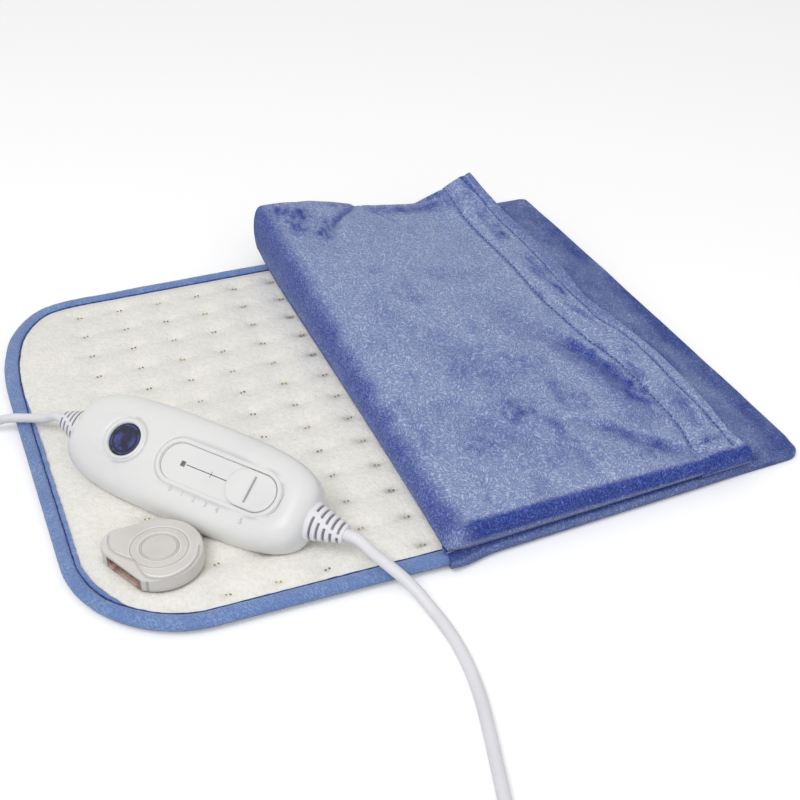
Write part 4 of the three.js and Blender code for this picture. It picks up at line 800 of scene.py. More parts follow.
def stadium_ring(grow, steps=40, length=TRACK_LENGTH, width=TRACK_WIDTH, centre=TRACK_X):
    """Points round a stadium that is a little larger or smaller than its length and width say."""
    straight, radius = (length - width) / 2, width / 2 + grow
    ring = []
    for end in (1, -1):
        for k in range(steps + 1):
            angle = math.pi * (k / steps - end / 2)
            x = centre + end * straight + radius * math.cos(angle)
            ring.append(Vector((x, radius * math.sin(angle))))
        for k in range(1, steps):
            ring.append(Vector((centre + end * straight * (1 - 2 * k / steps), end * radius)))
    return ring


def at_height(outline, height):
    """A flat outline's points, all at one height."""
    return [(p.x, p.y, height) for p in outline]


def face_height(x, y):
    """The controller's face, with its soft rims round the track and the lens."""
    track = track_distance(x, y)
    height = 0.35 * (1 - min(1, (y / 15) ** 2)) + 0.24 * bump(track, 1.3, 0.7)
    height -= 0.42 * bump(track, 2.6, 0.42) + 0.5 * bump(lens_distance(x, y), 3.9, 0.55)
    return height * clamped((13.6 - abs(y)) / 1.5)


def face_with_openings():
    """The flat of the face inside the dome's last ring, open at the track and the lens."""
    edge = [Vector(p[:2]) for p in housing_ring(FACE_INSET, 0)]
    rims = [stadium_ring(grow) for grow in (3.5, 3, 2.6, 2.2, 1.6, 0.8, 0.12)]
    rims += [circle(LENS_RADIUS + grow, 120, LENS_X) for grow in (2.5, 3.1, 3.5, 3.9, 4.3, 4.8)]
    loops, loose = [edge], []
    for rim in rims:
        inside = [p for p in rim if abs(p.y) < FLAT_HALF]
        if len(inside) == len(rim):
            loops.append(rim)
        else:
            loose += inside
    grid = np.array([(x, y) for x in np.arange(-61, 61, 1.2) for y in np.arange(-13.2, 13.3, 1.2)])
    for x, y in grid[edge_distance(grid, edge) > 0.6]:
        if track_distance(x, y) > 3.9 and lens_distance(x, y) > 5.2:
            loose.append(Vector((x, y)))
    flat, faces = triangulated(loops, loose, lambda p: track_distance(*p) <= 0.12 or lens_distance(*p) <= 2.5)
    return [(p.x, p.y, face_height(p.x, p.y)) for p in flat], faces


def groove_shade(x, y, z):
    """How much painted shade darkens a point of the face, in the grooves round the track and the lens."""
    if z < -0.8:
        return 0
    beside_lens = 0.6 * bump(lens_distance(x, y), 3.9, 0.7) * (x > LENS_X)
    return min(1, 0.6 * bump(track_distance(x, y), 2.6, 0.5) + beside_lens)


white_plastic = finish_of("controller_plastic", 0.36, "E3E3E2", Specular_IOR_Level=0.4, Coat_Weight=0.08)
clean_white = toned(white_plastic, 40, "E6E6E5", "DFDFE0", 0.35, 0.7, 3)
painted_groove_shade = shade_of(white_plastic, "groove_shade")
# Painted shade: the grooves round the track and the lens darken towards B9B7BD.
surface(white_plastic, "Base Color", between(white_plastic, painted_groove_shade, clean_white, "B9B7BD"))
skin = gritty(white_plastic, 0.45, 0.03)
surface(white_plastic, "Normal", raised(white_plastic, grain(white_plastic, 30, 1), 0.25, 0.4, skin))

TRACK_WALL = ((0.12, 0.2), (0.02, 0.05), (-0.05, -0.15), (-0.08, -TRACK_RECESS - 0.6))
LENS_RIM = (
    (2.5, 0.3), (2.42, 0.7), (2.2, 0.92), (1.8, 1.02), (1.3, 0.95), (0.75, 0.62), (0.4, 0.1), (0.3, -0.5),
    (0.28, -1.6),
)
dome = [housing_ring(0.5, -SEAM_DEPTH - 0.1)] + housing_dome(-SEAM_DEPTH, 0, FACE_INSET, 22)
track_wall = [at_height(stadium_ring(grow), height) for grow, height in TRACK_WALL]
lens_wall = [at_height(circle(LENS_RADIUS + grow, 120, LENS_X), height) for grow, height in LENS_RIM]
points, faces = joined(lofted(dome), face_with_openings(), lofted(track_wall), lofted(lens_wall))
upper_shell = piece("controller_upper", points, faces, "pad", white_plastic, 50, controller_place)
shaded(upper_shell, "groove_shade", [groove_shade(*point) for point in points])
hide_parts("controller_top_shell")

KEEL_FLAT = 26
lower_rings = [housing_ring(0.8, -SEAM_DEPTH - 0.25), housing_ring(0.25, -SEAM_DEPTH - 0.3)]
lower_rings += housing_dome(-SEAM_DEPTH - 0.55, -KEEL_DEPTH, 12, 24)
lower_rings += [housing_ring(inset, -KEEL_DEPTH) for inset in (15, 18, 21, 24, 26.5, 27.9)]
lower_rings = [
    [(x, y, max(z, (abs(y) * math.sin(TIPPED) - KEEL_FLAT) / math.cos(TIPPED))) for x, y, z in reversed(ring)]
    for ring in lower_rings
]
lower_shape = lofted(lower_rings, last_cap=True)
lower_shell = piece("controller_lower", *lower_shape, "pad", white_plastic, 30, controller_place)
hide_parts("controller_bottom_shell")

# Slide track. A white plate lies in the face's recess with a fine gap round it. It has a
# narrow slot for the slider, a printed square where it is off and a tick part of the way.
SLOT_HALF, SLOT_START, SLOT_END = 0.22, 1.6, 44.4
PLATE_SIDE = ((-0.1, 0.6), (-0.26, 0.55), (-0.29, 0.1), (-0.3, 0))
slot_edge = [Vector(p) for p in (
    (SLOT_START, -SLOT_HALF), (SLOT_END, -SLOT_HALF), (SLOT_END, SLOT_HALF), (SLOT_START, SLOT_HALF)
)]
flat, faces = triangulated(
    [stadium_ring(-0.3), slot_edge],
    is_open=lambda p: abs(p.y) <= SLOT_HALF and SLOT_START < p.x < SLOT_END,
)
plate = (at_height(flat, -TRACK_RECESS), faces)
slot_walls = lofted([at_height(slot_edge, -TRACK_RECESS - depth) for depth in (0, 1.5)])
plate_side = lofted([at_height(stadium_ring(grow), -TRACK_RECESS - depth) for grow, depth in PLATE_SIDE])
track_shape = joined(plate, slot_walls, plate_side)
track = piece("slide_track", *track_shape, "pad", white_plastic, 30, controller_place)
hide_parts("track_plate")


def flat_bar(x0, x1, y0, y1, low, high):
    """A bar with its upper edges taken off."""
    edge = min(0.12, (x1 - x0) / 4, (y1 - y0) / 4)
    rings = []
    for inset, height in ((0, low), (0, high - edge), (edge, high)):
        rings.append([
            (x0 + inset, y0 + inset, height), (x1 - inset, y0 + inset, height),
            (x1 - inset, y1 - inset, height), (x0 + inset, y1 - inset, height),
        ])
    return lofted(rings, last_cap=True)


printed_grey = finish_of("printed_grey", 0.6, "6A6A6E", (1.2, "5E5E63", "77777B"))
marks = joined(
    flat_bar(-1.7, 1.2, -1.7, 1.4, -TRACK_RECESS, -TRACK_RECESS + 0.06),
    flat_bar(17.3, 17.8, -1.8, 1.8, -TRACK_RECESS, -TRACK_RECESS + 0.06),
)
mark = piece("slide_marks", *marks, "pad", printed_grey, 30, controller_place)

# Scale numbers. Small plain numbers are moulded proud of the face beside the track; they are a little darker
# than the face all over, a painted shade for their embossing.
NUMBER_SIZE, NUMBER_RISE = 4.1, 0.16
NUMBER_SPOTS = ((1, -16), (8.6, -16.2), (16.2, -16.5), (23.6, -16.8), (31, -17.1), (46, -17.6))
# Painted shade: the numbers are darker than the face.
number_painted_shade = finish_of("scale_emboss", 0.5, "C9C9CD", grit=(0.4, 0.03))
for number, (x, y) in enumerate(NUMBER_SPOTS):
    text = bpy.data.curves.new(f"scale_number_{number}", "FONT")
    text.body = str(number)
    text.size = NUMBER_SIZE / 1000
    text.extrude = NUMBER_RISE / 1000
    text.bevel_depth = 0.00006
    text.align_x = "CENTER"
    text.materials.append(number_painted_shade)
    made = bpy.data.objects.new(f"scale_number_{number}", text)
    scene.collection.objects.link(made)
    local = controller_place @ Matrix.Translation((x, y, -0.12)) @ Matrix.Rotation(math.radians(3), 4, "X")
    local.translation = metres(local.translation)
    made.matrix_world = local
    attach(made, "pad")

# Slider. A low white cap with a grey ridge across it slides along the track; its stem goes
# down through the slot.
KNOB_X, KNOB_TOP = 42.8, 0.72
KNOB_SHAPE = (30, 29.2, 20, KNOB_X)
KNOB_SECTION = ((0.1, -1.1), (0, -0.9), (0, 0.05), (-0.12, 0.4), (-0.4, 0.62), (-0.9, KNOB_TOP))


def knob_height(x, y):
    return KNOB_TOP - 0.22 * bump(x, KNOB_X, 6) * max(0, 1 - (y / 10) ** 2)


knob_rings = [at_height(stadium_ring(grow, *KNOB_SHAPE), height) for grow, height in KNOB_SECTION]
knob_rings[-1] = [(x, y, knob_height(x, y)) for x, y, _ in knob_rings[-1]]
knob_top = filled_face(stadium_ring(-0.9, *KNOB_SHAPE), knob_height, 0.9)
stem = lofted([
    [(KNOB_X + a, b, height) for a, b in ((-1.4, -0.18), (1.4, -0.18), (1.4, 0.18), (-1.4, 0.18))]
    for height in (-5, -0.6)
])
knob_parts = joined(lofted(knob_rings), knob_top, stem)
knob = piece("slider_cap", *knob_parts, "slider", white_plastic, 40, controller_place)
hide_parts("slider_knob")
ridge_grey = finish_of("slider_ridge", 0.5, "A4A4A9", grit=(0.4, 0.05))
ridge_shape = flat_bar(KNOB_X - 0.4, KNOB_X + 0.4, -7.2, 7.2, 0.3, 1.35)
ridge = piece("slider_ridge", *ridge_shape, "slider", ridge_grey, 30, controller_place)

# Display window. A navy lens of clear-coated acrylic, slightly domed, in a bevelled ring, with a darker
# border and the display's soft shapes showing through.
LENS_SECTION = (
    (9.2, -1.9), (9.2, -0.9), (9.05, -0.62), (8.6, -0.5), (7.6, -0.42), (6, -0.3), (4, -0.2), (2, -0.14),
    (0.2, -0.12),
)
lens_rings = [at_height(circle(radius, 96, LENS_X), height) for radius, height in LENS_SECTION]
lens_navy = finish_of(
    "display_lens", 0.2, "161B42", Coat_Weight=0.35, Coat_Roughness=0.05, Specular_IOR_Level=0.35
)
middle = metres(controller_place @ Vector((LENS_X, 0, 0)))
coordinates = node(lens_navy, "TexCoord").outputs["Object"]
warp = node(lens_navy, "TexNoise", {"Vector": coordinates, "Scale": 130, "Detail": 2}).outputs["Color"]
pushed = node(lens_navy, "VectorMath", {0: warp, "Scale": 0.006}, operation="SCALE").outputs[0]
bent = node(lens_navy, "VectorMath", {0: coordinates, 1: pushed}, operation="ADD").outputs[0]
swirl = node(lens_navy, "TexNoise", {"Vector": bent, "Scale": 190, "Detail": 3}).outputs[0]
offset = node(lens_navy, "VectorMath", {0: coordinates, 1: middle}, operation="DISTANCE").outputs["Value"]
deep = between(lens_navy, ranged(lens_navy, swirl, 0.42, 0.66), "0C1030", "39438A")
inner_ring = ranged(lens_navy, offset, 0.0059, 0.0066)
outer_ring = ranged(lens_navy, offset, 0.0070, 0.0078, 1, 0)
ring_share = node(lens_navy, "Math", {0: inner_ring, 1: outer_ring}, operation="MULTIPLY").outputs[0]
shown = between(lens_navy, ring_share, deep, "070A22")
border = ranged(lens_navy, offset, 0.0082, 0.009)
surface(lens_navy, "Base Color", between(lens_navy, border, shown, "0B0D20"))
lens = piece("display_window", *lofted(lens_rings, last_cap=True), "pad", lens_navy, 50, controller_place)
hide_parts("display_lens")

# Strain reliefs. Soft white cones lead each cable out of the housing. Narrow slots part
# them into ribs, which narrow bridges join, each one turned a little from the last.
RIB_BRIDGE, RIB_TURN = math.radians(100), math.radians(13)
BOOT_START, BOOT_STEP, BOOT_FLATNESS = -4.5, 0.15, 0.74
RIB_SLOT_DEPTH, TIP_ROUND = 1.9, 0.5


def strain_relief(length, tip_radius, base_radius, slots, direction):
    """Points, faces and painted slot shade of a ribbed cone, from inside the housing to the cable."""
    rings, shades = [], []
    steps = round((length - BOOT_START) / BOOT_STEP)
    pitch = (length - 1.2) / slots
    for step in range(steps + 1):
        along = blend(BOOT_START, length, step / steps)
        radius = blend(base_radius, tip_radius, (max(0, along) / length) ** 0.9)
        if along > length - TIP_ROUND:
            rounded = (along - length + TIP_ROUND) / TIP_ROUND
            radius -= TIP_ROUND * (1 - math.sqrt(max(0, 1 - rounded ** 2)))
        phase = (along - 0.6) / pitch
        slot = math.floor(phase)
        cut_share = clamped((0.42 - abs(phase - slot - 0.5) * 2) / 0.12) * (0 <= slot < slots)
        turned = RIB_BRIDGE + direction * RIB_TURN * (slot - (slots - 1) / 2)
        ring = []
        for turn in range(120)[::direction]:
            angle = 2 * math.pi * turn / 120
            cut = cut_share * clamped((abs(math.sin(angle - turned)) - 0.15) / 0.07)
            r = radius - RIB_SLOT_DEPTH * cut * (0.6 + 0.4 * radius / base_radius)
            height = CABLE_HEIGHT + BOOT_FLATNESS * r * math.sin(angle)
            ring.append((direction * (HALF_LENGTH + along), r * math.cos(angle), height))
            shades.append(cut)
        rings.append(ring)
    return *lofted(rings, first_cap=True, last_cap=True), shades


rubber = finish_of("strain_relief", 0.5, "E2E1E6", grit=(0.6, 0.04), Specular_IOR_Level=0.35)
# Painted shade: the slots between the ribs darken towards 8B8994.
surface(rubber, "Base Color", between(rubber, shade_of(rubber, "slot_shade"), "E6E5E9", "8B8994"))
for name, stands_for, cone in (
    ("mains_strain_relief", "mains_lead_boot", (MAINS_BOOT, 4.7, 10.2, 4, -1)),
    ("pad_strain_relief", "pad_lead_boot", (PAD_BOOT, 5.1, 10.4, 5, 1)),
):
    points, faces, shades = strain_relief(*cone)
    relief = piece(name, points, faces, "pad", rubber, 50, controller_place)
    shaded(relief, "slot_shade", shades)
    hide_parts(stands_for)

# Parts inside. The green laminate board with its moulded parts, the steel screws and plug
# pins, the copper wire and its woven liner all keep the shapes of the CAD model.
dress(finish_of("board_laminate", 0.45, "2F6B48", (2.5, "27603F", "377A54", 0.45, 0.55)), "circuit_board")
dark_case = finish_of("moulded_case", 0.55, "33343A", grit=(0.5, 0.06, 0.6))
dress(dark_case, "display_module", "fuse", "slide_switch", "thermal_cutout", "triac")
dress(white_plastic, "slider_carriage")
steel = finish_of("screw_steel", 0.32, "B4B6B8", grit=(0.5, 0.03, 0.5, (1, 0.12, 1)), Metallic=1.0)
dress(steel, "housing_screw_1", "housing_screw_2", "mains_plug_pin_1", "mains_plug_pin_2")
dress(finish_of("wire_copper", 0.35, "B87346", grit=(0.4, 0.03), Metallic=1.0), "heating_wire")
dress(finish_of("heater_liner", 0.9, "E9E5D8", grit=(0.8, 0.2, 0.6)), "heater_sheet")

# Plugs. Each lead ends in a moulded white plug with a ribbed neck; the mains plug has two
# round pins and the pad's plug a flat tongue.
NECK_RIBS, NECK_RIB_DEPTH = 5, 0.63


def plug_ring(along, half_width, half_height, power=3.2):
    return [(along, y, z) for y, z in squared_ring(half_width, half_height, power, 72)]


def moulded_plug(neck, body, widths, heights, tongue=()):
    """Rings along +X: a ribbed neck, then the body and, on a pad plug, its tongue."""
    rings = []
    for step in range(61):
        share = step / 60
        rib = NECK_RIB_DEPTH * max(0, math.sin(share * 2 * math.pi * NECK_RIBS)) ** 0.5 * (share < 0.96)
        width, height = (blend(*ends[:2], share) - rib for ends in (widths, heights))
        rings.append(plug_ring(neck * share, width, height, 2.1 + share))
    for step in range(1, 25):
        share = step / 24
        end = math.sqrt(max(0, 1 - max(0, (share - 0.93) / 0.07) ** 2)) * 0.06 + 0.94
        width, height = (blend(*ends[1:], eased(share / 0.45)) * end for ends in (widths, heights))
        rings.append(plug_ring(neck + body * share, width, height))
    if tongue:
        length, half_width, half_height = tongue
        for along, grow in ((0, 0.4), (0.4, 0), (length - 0.6, 0), (length, -0.5)):
            rings.append(plug_ring(neck + body + along, half_width + grow, half_height + grow, 6))
    return lofted(rings, first_cap=True, last_cap=True)


mains_place = Matrix.Translation((mains_x, 106, 6.5)) @ Matrix.Rotation(math.radians(-90), 4, "Z")
mains_shape = moulded_plug(24, 36, (4.2, 6.5, 17.3), (3.9, 4.6, 6.4))
mains_plug = piece("mains_plug_body", *mains_shape, "pad", rubber, 50, mains_place)
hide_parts("mains_plug")
pad_place = Matrix.Translation((58, pad_y, 4.5)) @ Matrix.Rotation(math.pi, 4, "Z")
pad_shape = moulded_plug(20, 26, (3.9, 6, 12.9), (3.6, 3.9, 4.4), (14, 10.4, 2.2))
pad_plug = piece("pad_plug_body", *pad_shape, "pad", rubber, 50, pad_place)
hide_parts("coupling_plug")

# Cover bag. The plush cover is a flat bag over the pad's right end. Its two panels are sewn
# together round three sides; its near side is one soft roll, and its right end lies lower.
COVER_RIGHT, COVER_NEAR, COVER_FAR, COVER_TOP = 406, 1, 339, 12.6
COVER_CORNER, COVER_ROLL, COVER_SLANT = 8, 5.5, 20.5
NEAR_DROP, END_ROUND = 3.7, 3
NEAR_ROLL = (
    (COVER_ROLL, 0.2), (3.4, 0.4), (1.8, 1.1), (0.7, 2.2), (0.1, 3.5), (0, 4.7), (0.3, 5.9), (1.1, 7),
    (2.4, 7.8), (4, 8.3), (COVER_ROLL, 8.8),
)
FAR_ROLL = (
    (COVER_ROLL, 12.5), (2.6, 12.1), (0.8, 10.6), (0.1, 8), (0, 6.2), (0.1, 4.4), (0.8, 2), (2.6, 0.6),
    (COVER_ROLL, 0.2),
)
# Where the hem's painted shadow lies on the bag.
HEM_PAINTED_SHADOW = [Vector(p) for p in ((359, 198), (359, 180), (363, 162), (368, 144), (373, 122), (374, 108))]


def bag_section():
    """The bag's section as (share from near to far, millimetres inwards, height), all round."""
    near = [(0, *p) for p in smooth_path(NEAR_ROLL, 3)]
    far = [(1, *p) for p in smooth_path(FAR_ROLL, 2)]
    top = [(k / 130, COVER_ROLL, COVER_TOP) for k in range(1, 130)]
    bottom = [(k / 60, COVER_ROLL, 0.2) for k in range(59, 0, -1)]
    return near + top + far + bottom


def bag_point(share, across, inwards, height):
    """A point of the bag's section, share of the way from its mouth to its closed end."""
    right = COVER_RIGHT - COVER_SLANT * across ** 1.08
    x = blend(COVER_MOUTH, right, share)
    past = max(0, x - (right - COVER_CORNER))
    drawn = COVER_CORNER - math.sqrt(max(0, COVER_CORNER ** 2 - past ** 2))
    near, far = COVER_NEAR + drawn, COVER_FAR - drawn
    if across == 0:
        y = near + blend(inwards, 2, 0.75 * eased((x - 335) / 45))
    elif across == 1:
        y = far - inwards
    else:
        y = blend(near + COVER_ROLL, far - COVER_ROLL, across)
        if height > 7 and across < 0.5:
            height -= NEAR_DROP * (1 - eased((y - near - COVER_ROLL) / 8))
    height *= 1 - 0.5 * eased((x - 366) / 30) * (1 - across) ** 1.3
    closing = math.sqrt(max(0, 1 - (1 - min(1, (right - x) / END_ROUND)) ** 2))
    height = blend(END_ROUND, height, closing)
    x, y = tucked_in(x, y)
    if height > 7 and 0 < across < 1:
        height += 0.55 * lumpy(x / 30, y / 30, 3) * closing
        height -= 0.9 * bump(x, 386 - 12 * across, 7) * bump(across, 0.2, 0.16)
    lifted = eased(1 - share / 0.05) * (across == 0)
    return x, y, height + 2.2 * lifted * max(0, 1 - height / 6)


def bag_shade(point, across):
    """How dark a point is: painted shade low on the near roll and just under the cuff, the hem's painted
    shadow, darker towards the right end, and clouds of dark nap.
    """
    x, y, z = point
    if across == 0:
        cloud = 0.3 + 0.35 * lumpy(x / 9, z / 2, 4) + 0.25 * eased((x - 330) / 40)
        return min(1, max(0.95 * eased((3 - z) / 2.6), 0.95 * eased((z - 6.3) / 1.6), cloud))
    clouds = lumpy(x / 16, y / 34, 21) + 0.5 * lumpy(x / 7, y / 12, 8)
    edge = 0.45 * eased((x - 386 + 14 * across) / 12)
    under_hem = 0.95 * bump(path_distance(Vector((x, y)), HEM_PAINTED_SHADOW), 0, 6.5)
    return clamped(max(0.32 + 0.75 * clouds + edge, under_hem))


def nap_finish(name, lights, dark_and_shaded_tones, painted_shadow_tones, painted_glint_tones):
    """Short plush: fibres in swirls, pale where the nap stands, deep blue where it lies and in painted shade,
    with painted shade between the fibres and painted glints on their tips.
    """
    cloth = finish_of(name, 0.88, lights[0], Sheen_Weight=0.14, Sheen_Roughness=0.4, Specular_IOR_Level=0.08)
    one_way = grain(cloth, 1.0, 2, (0.62, 2, 1), 0.75, 0.55)
    other_way = grain(cloth, 1.0, 2, (0.62, 2, 1), -0.55, 0.55)
    swirl = ranged(cloth, grain(cloth, 7, 2), 0.44, 0.56)
    fibres = node(cloth, "Mix", {0: swirl, 2: one_way, 3: other_way}).outputs[0]
    laid = ranged(cloth, fibres, 0.41, 0.59)
    mottle = ranged(cloth, grain(cloth, 6, 3, roughness=0.6), 0.35, 0.7)
    nap_and_painted_shade = shade_of(cloth, "nap_and_painted_shade")
    light_nap = between(cloth, mottle, *lights)
    dark_nap_and_shade = between(cloth, mottle, *dark_and_shaded_tones)
    coat = between(cloth, nap_and_painted_shade, light_nap, dark_nap_and_shade)
    # Painted shade between the fibres.
    hollow = between(cloth, nap_and_painted_shade, *painted_shadow_tones)
    body = between(cloth, laid, hollow, coat)
    # Painted glints: the fibres' tips are paled.
    painted_glints = ranged(cloth, fibres, 0.6, 0.72)
    surface(cloth, "Base Color", between(cloth, painted_glints, body, between(cloth, nap_and_painted_shade, *painted_glint_tones)))
    surface(cloth, "Normal", raised(cloth, laid, 0.7, 0.8, raised(cloth, mottle, 0.6, 0.45)))
    return cloth


def thicken(cloth, thickness):
    """Gives a sheet of cloth its thickness, inwards."""
    thick = cloth.modifiers.new("cloth_thickness", "SOLIDIFY")
    thick.thickness = thickness
    thick.offset = -1


plush_back = nap_finish(
    "plush_back", ("96A6D2", "889ACB"), ("566BB8", "485CAA"), ("7081B8", "3A4B90"), ("AEBBDD", "7086C8")
)
section = bag_section()
rings = [[bag_point(1 - (1 - k / 110) ** 1.7, *spot) for spot in section] for k in range(111)]
points, faces = lofted(rings)
faces = [face[::-1] for face in faces]
bag = piece("cover_bag_cloth", points, faces, "cover", plush_back, 70)
shaded(bag, "nap_and_painted_shade", [bag_shade(point, spot[0]) for ring in rings for point, spot in zip(ring, section)])
thicken(bag, 0.0011)
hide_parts("cover_bag")

# Folded cuff. The bag's mouth is turned back over it, nap outwards: a tall soft roll at the
# left, a broad flap, and at the right a doubled hem that pulls up into a point.
CUFF_NEAR, CUFF_FAR, CUFF_FLOOR = 4.5, 338, 10.45
FLAP_DEPTH = CUFF_FAR - CUFF_NEAR
ROLL_LEFT, ROLL_CORNER = 186, 9.5
FOLD_HEIGHTS, HEM_HEIGHTS, TIP_RISE = (23.4, 43), (17.6, 21), 20
UNDER_ROLL, UNDER_FLAP, HEM_ROUND = 10.5, 12.9, 1.5
HEM_EDGE = (
    (0, 370.5), (0.06, 368), (0.15, 369), (0.25, 369), (0.35, 366.5), (0.42, 363), (0.48, 359), (0.53, 356.5),
    (0.6, 357.5), (0.68, 359), (0.76, 358), (0.83, 354.5), (0.9, 347), (0.95, 341.5), (1, 338.5),
)
OUTER_ROW = (
    (0, 362), (0.1, 363), (0.2, 362.3), (0.3, 361), (0.39, 358.5), (0.45, 351.8), (0.5, 350.5), (0.6, 348.5),
    (0.7, 348.7), (0.8, 346.6), (0.87, 342), (0.92, 338), (0.955, 335), (1, 333.5),
)
INNER_ROW = (
    (0, 339), (0.06, 341), (0.116, 344), (0.2, 344.8), (0.3, 343.5), (0.352, 341.5), (0.42, 336),
    (0.475, 333), (0.56, 328.8), (0.63, 328), (0.74, 326), (0.866, 322), (0.977, 319), (1, 318),
)
# Folds of the flap: their path, the depth they sink it, their width and the strength of their painted shade.
CREASES = (
    (((316, 152), (329, 121), (334, 98), (337, 80), (334, 58)), 2.4, 6.5, 0.9),
    (((292, 64), (306, 54), (320, 36), (331, 24), (341, 15)), 1.9, 4.4, 0.75),
    (((357, 76), (355, 54), (353, 36)), 1.1, 3.4, 0.7),
    (((255, 338), (240, 319), (228, 304), (219, 292)), 1.5, 2, 0.8),
    (((224, 300), (215, 287), (211, 276)), 1.2, 6, 0.45),
    (((255, 338), (263, 326), (269, 314), (275, 306)), 0.9, 1.4, 0.55),
    (((256, 327), (284, 327), (306, 324), (327, 318)), 0.5, 4.5, 0.7),
    (((246, 160), (262, 130), (270, 96)), 1.1, 9, 0.35),
    (((228, 96), (246, 70), (272, 50)), 1.1, 9, 0.35),
    (((292, 196), (304, 164), (306, 136)), 0.8, 8, 0.3),
)
NAP_PATCHES = (
    (207, 315, 8, 11, 0.9), (196, 322, 8, 10, 0.8), (201, 300, 7, 13, 0.75), (216, 292, 6, 10, 0.7),
    (222, 304, 4, 8, 0.5), (236, 330, 10, 4, 0.45),
    (310, 332, 12, 5, 0.6), (338, 276, 4, 12, 0.55), (341, 236, 5, 11, 0.5), (343, 198, 4, 12, 0.7),
    (352, 118, 4, 10, 0.35), (335, 300, 3, 9, 0.45), (352, 22, 7, 4, 0.5), (262, 86, 16, 13, 0.5),
    (286, 120, 11, 15, 0.35), (246, 128, 10, 18, 0.35), (232, 62, 14, 10, 0.45), (300, 82, 9, 13, 0.35),
    (292, 226, 12, 9, 0.2), (222, 190, 9, 22, 0.25), (318, 26, 16, 6, 0.35), (270, 40, 22, 8, 0.35),
)


def smooth_line(knots):
    """A smooth course through (place, value) pairs."""
    path = smooth_path(knots)
    places, values = [p.x for p in path], [p.y for p in path]
    return lambda at: float(np.interp(at, places, values))


hem_edge, outer_row, inner_row = smooth_line(HEM_EDGE), smooth_line(OUTER_ROW), smooth_line(INNER_ROW)
crease_paths = [(smooth_path(path, 3), depth, width, dark) for path, depth, width, dark in CREASES]


def roll_left(t):
    """The roll's left side, with its corners drawn in round."""
    past = max(0, ROLL_CORNER - (1 - t) * FLAP_DEPTH, ROLL_CORNER - 3.5 - t * FLAP_DEPTH)
    return ROLL_LEFT - 9 * t ** 1.5 + ROLL_CORNER - math.sqrt(ROLL_CORNER ** 2 - past ** 2)


def folded_over(t):
    """The x at which the roll's top goes over into the flap."""
    return ROLL_LEFT + 20 - 11 * t - 9 * t ** 1.5


def crest_height(x, t):
    """The height of the flap, without its hem, from its roll to its free edge."""
    s = (x - COVER_MOUTH) / (hem_edge(t) - COVER_MOUTH)
    height = blend(blend(*FOLD_HEIGHTS, eased(t)), blend(*HEM_HEIGHTS, t), eased(s))
    height -= 2.5 * bump(s, 0.5, 0.2) * bump(t, 1, 0.25) + 2.4 * bump(s, 0.86, 0.07) * bump(t, 0.34, 0.2)
    height += TIP_RISE * max(0, (s - 0.72) / 0.28) * bump(t, 1, 0.11)
    height += 0.9 * lumpy(x / 34, t * 9, 1) * clamped(s * 6)
    return height + 0.3 * lumpy(x / 9, t * 30, 6)


def creased(x, y):
    """How far the folds sink the flap at a point, and the painted shade that they put in it, softer on their
    left.
    """
    point = Vector((x, y))
    sunk = dark = 0
    for path, depth, width, darkness in crease_paths:
        middle = path[len(path) // 2]
        if abs(x - middle.x) > 40 or abs(y - middle.y) > 60:
            continue
        away = path_distance(point, path)
        sunk += depth * bump(away, 0, width)
        ends = min((point - path[0]).length, (point - path[-1]).length)
        strong = darkness * (0.35 + 0.65 * eased(ends / 22)) * (1 + 0.5 * lumpy(x / 7, y / 9, 40))
        ragged = width * (1.15 + 0.8 * lumpy(x / 6, y / 6, 44))
        left_of = point + Vector((0.9 * width, 0.3 * width))
        soft = 0.7 * bump(path_distance(left_of, path), 0, 1.5 * width)
        dark = max(dark, strong * max(soft, math.exp(-((away / ragged) ** 4))))
    return sunk, dark


def flap(x, t):
    """The height of the flap's outer face at a point, with its hem, and how dark it is: painted shade in the
    folds and along the stitch rows, a darker strip along the hem's edge and dark patches in the hem.
    """
    y = CUFF_NEAR + t * FLAP_DEPTH
    sunk, dark = creased(x, y)
    height = crest_height(x, t) - sunk
    inner, outer, edge = inner_row(t), outer_row(t), hem_edge(t)
    if x > inner - 5:
        height += 0.8 * eased((x - inner + 0.6) / 1.2)
        height -= 0.75 * bump(x, inner, 0.9) + 0.7 * bump(x, outer, 0.9)
        if inner < x < outer:
            puffed = 0.9 + 1.3 * lumpy(x / 12, y / 22, 31)
            height += puffed * math.sin(math.pi * (x - inner) / (outer - inner)) ** 0.8
            dark = max(dark, 0.6 * eased(1.7 * lumpy(x / 7, y / 26, 17) - 0.05))
        if x > outer:
            height += 0.5 * math.sin(math.pi * min(1, (x - outer) / (edge - outer)))
            dark = max(dark, (0.12 + 0.3 * eased((t - 0.36) / 0.1)) * eased((x - outer) / 2.5))
        dark = max(dark, 0.5 * bump(x, inner - 1, 1.4), 0.5 * bump(x, outer, 1.2))
    return height, dark


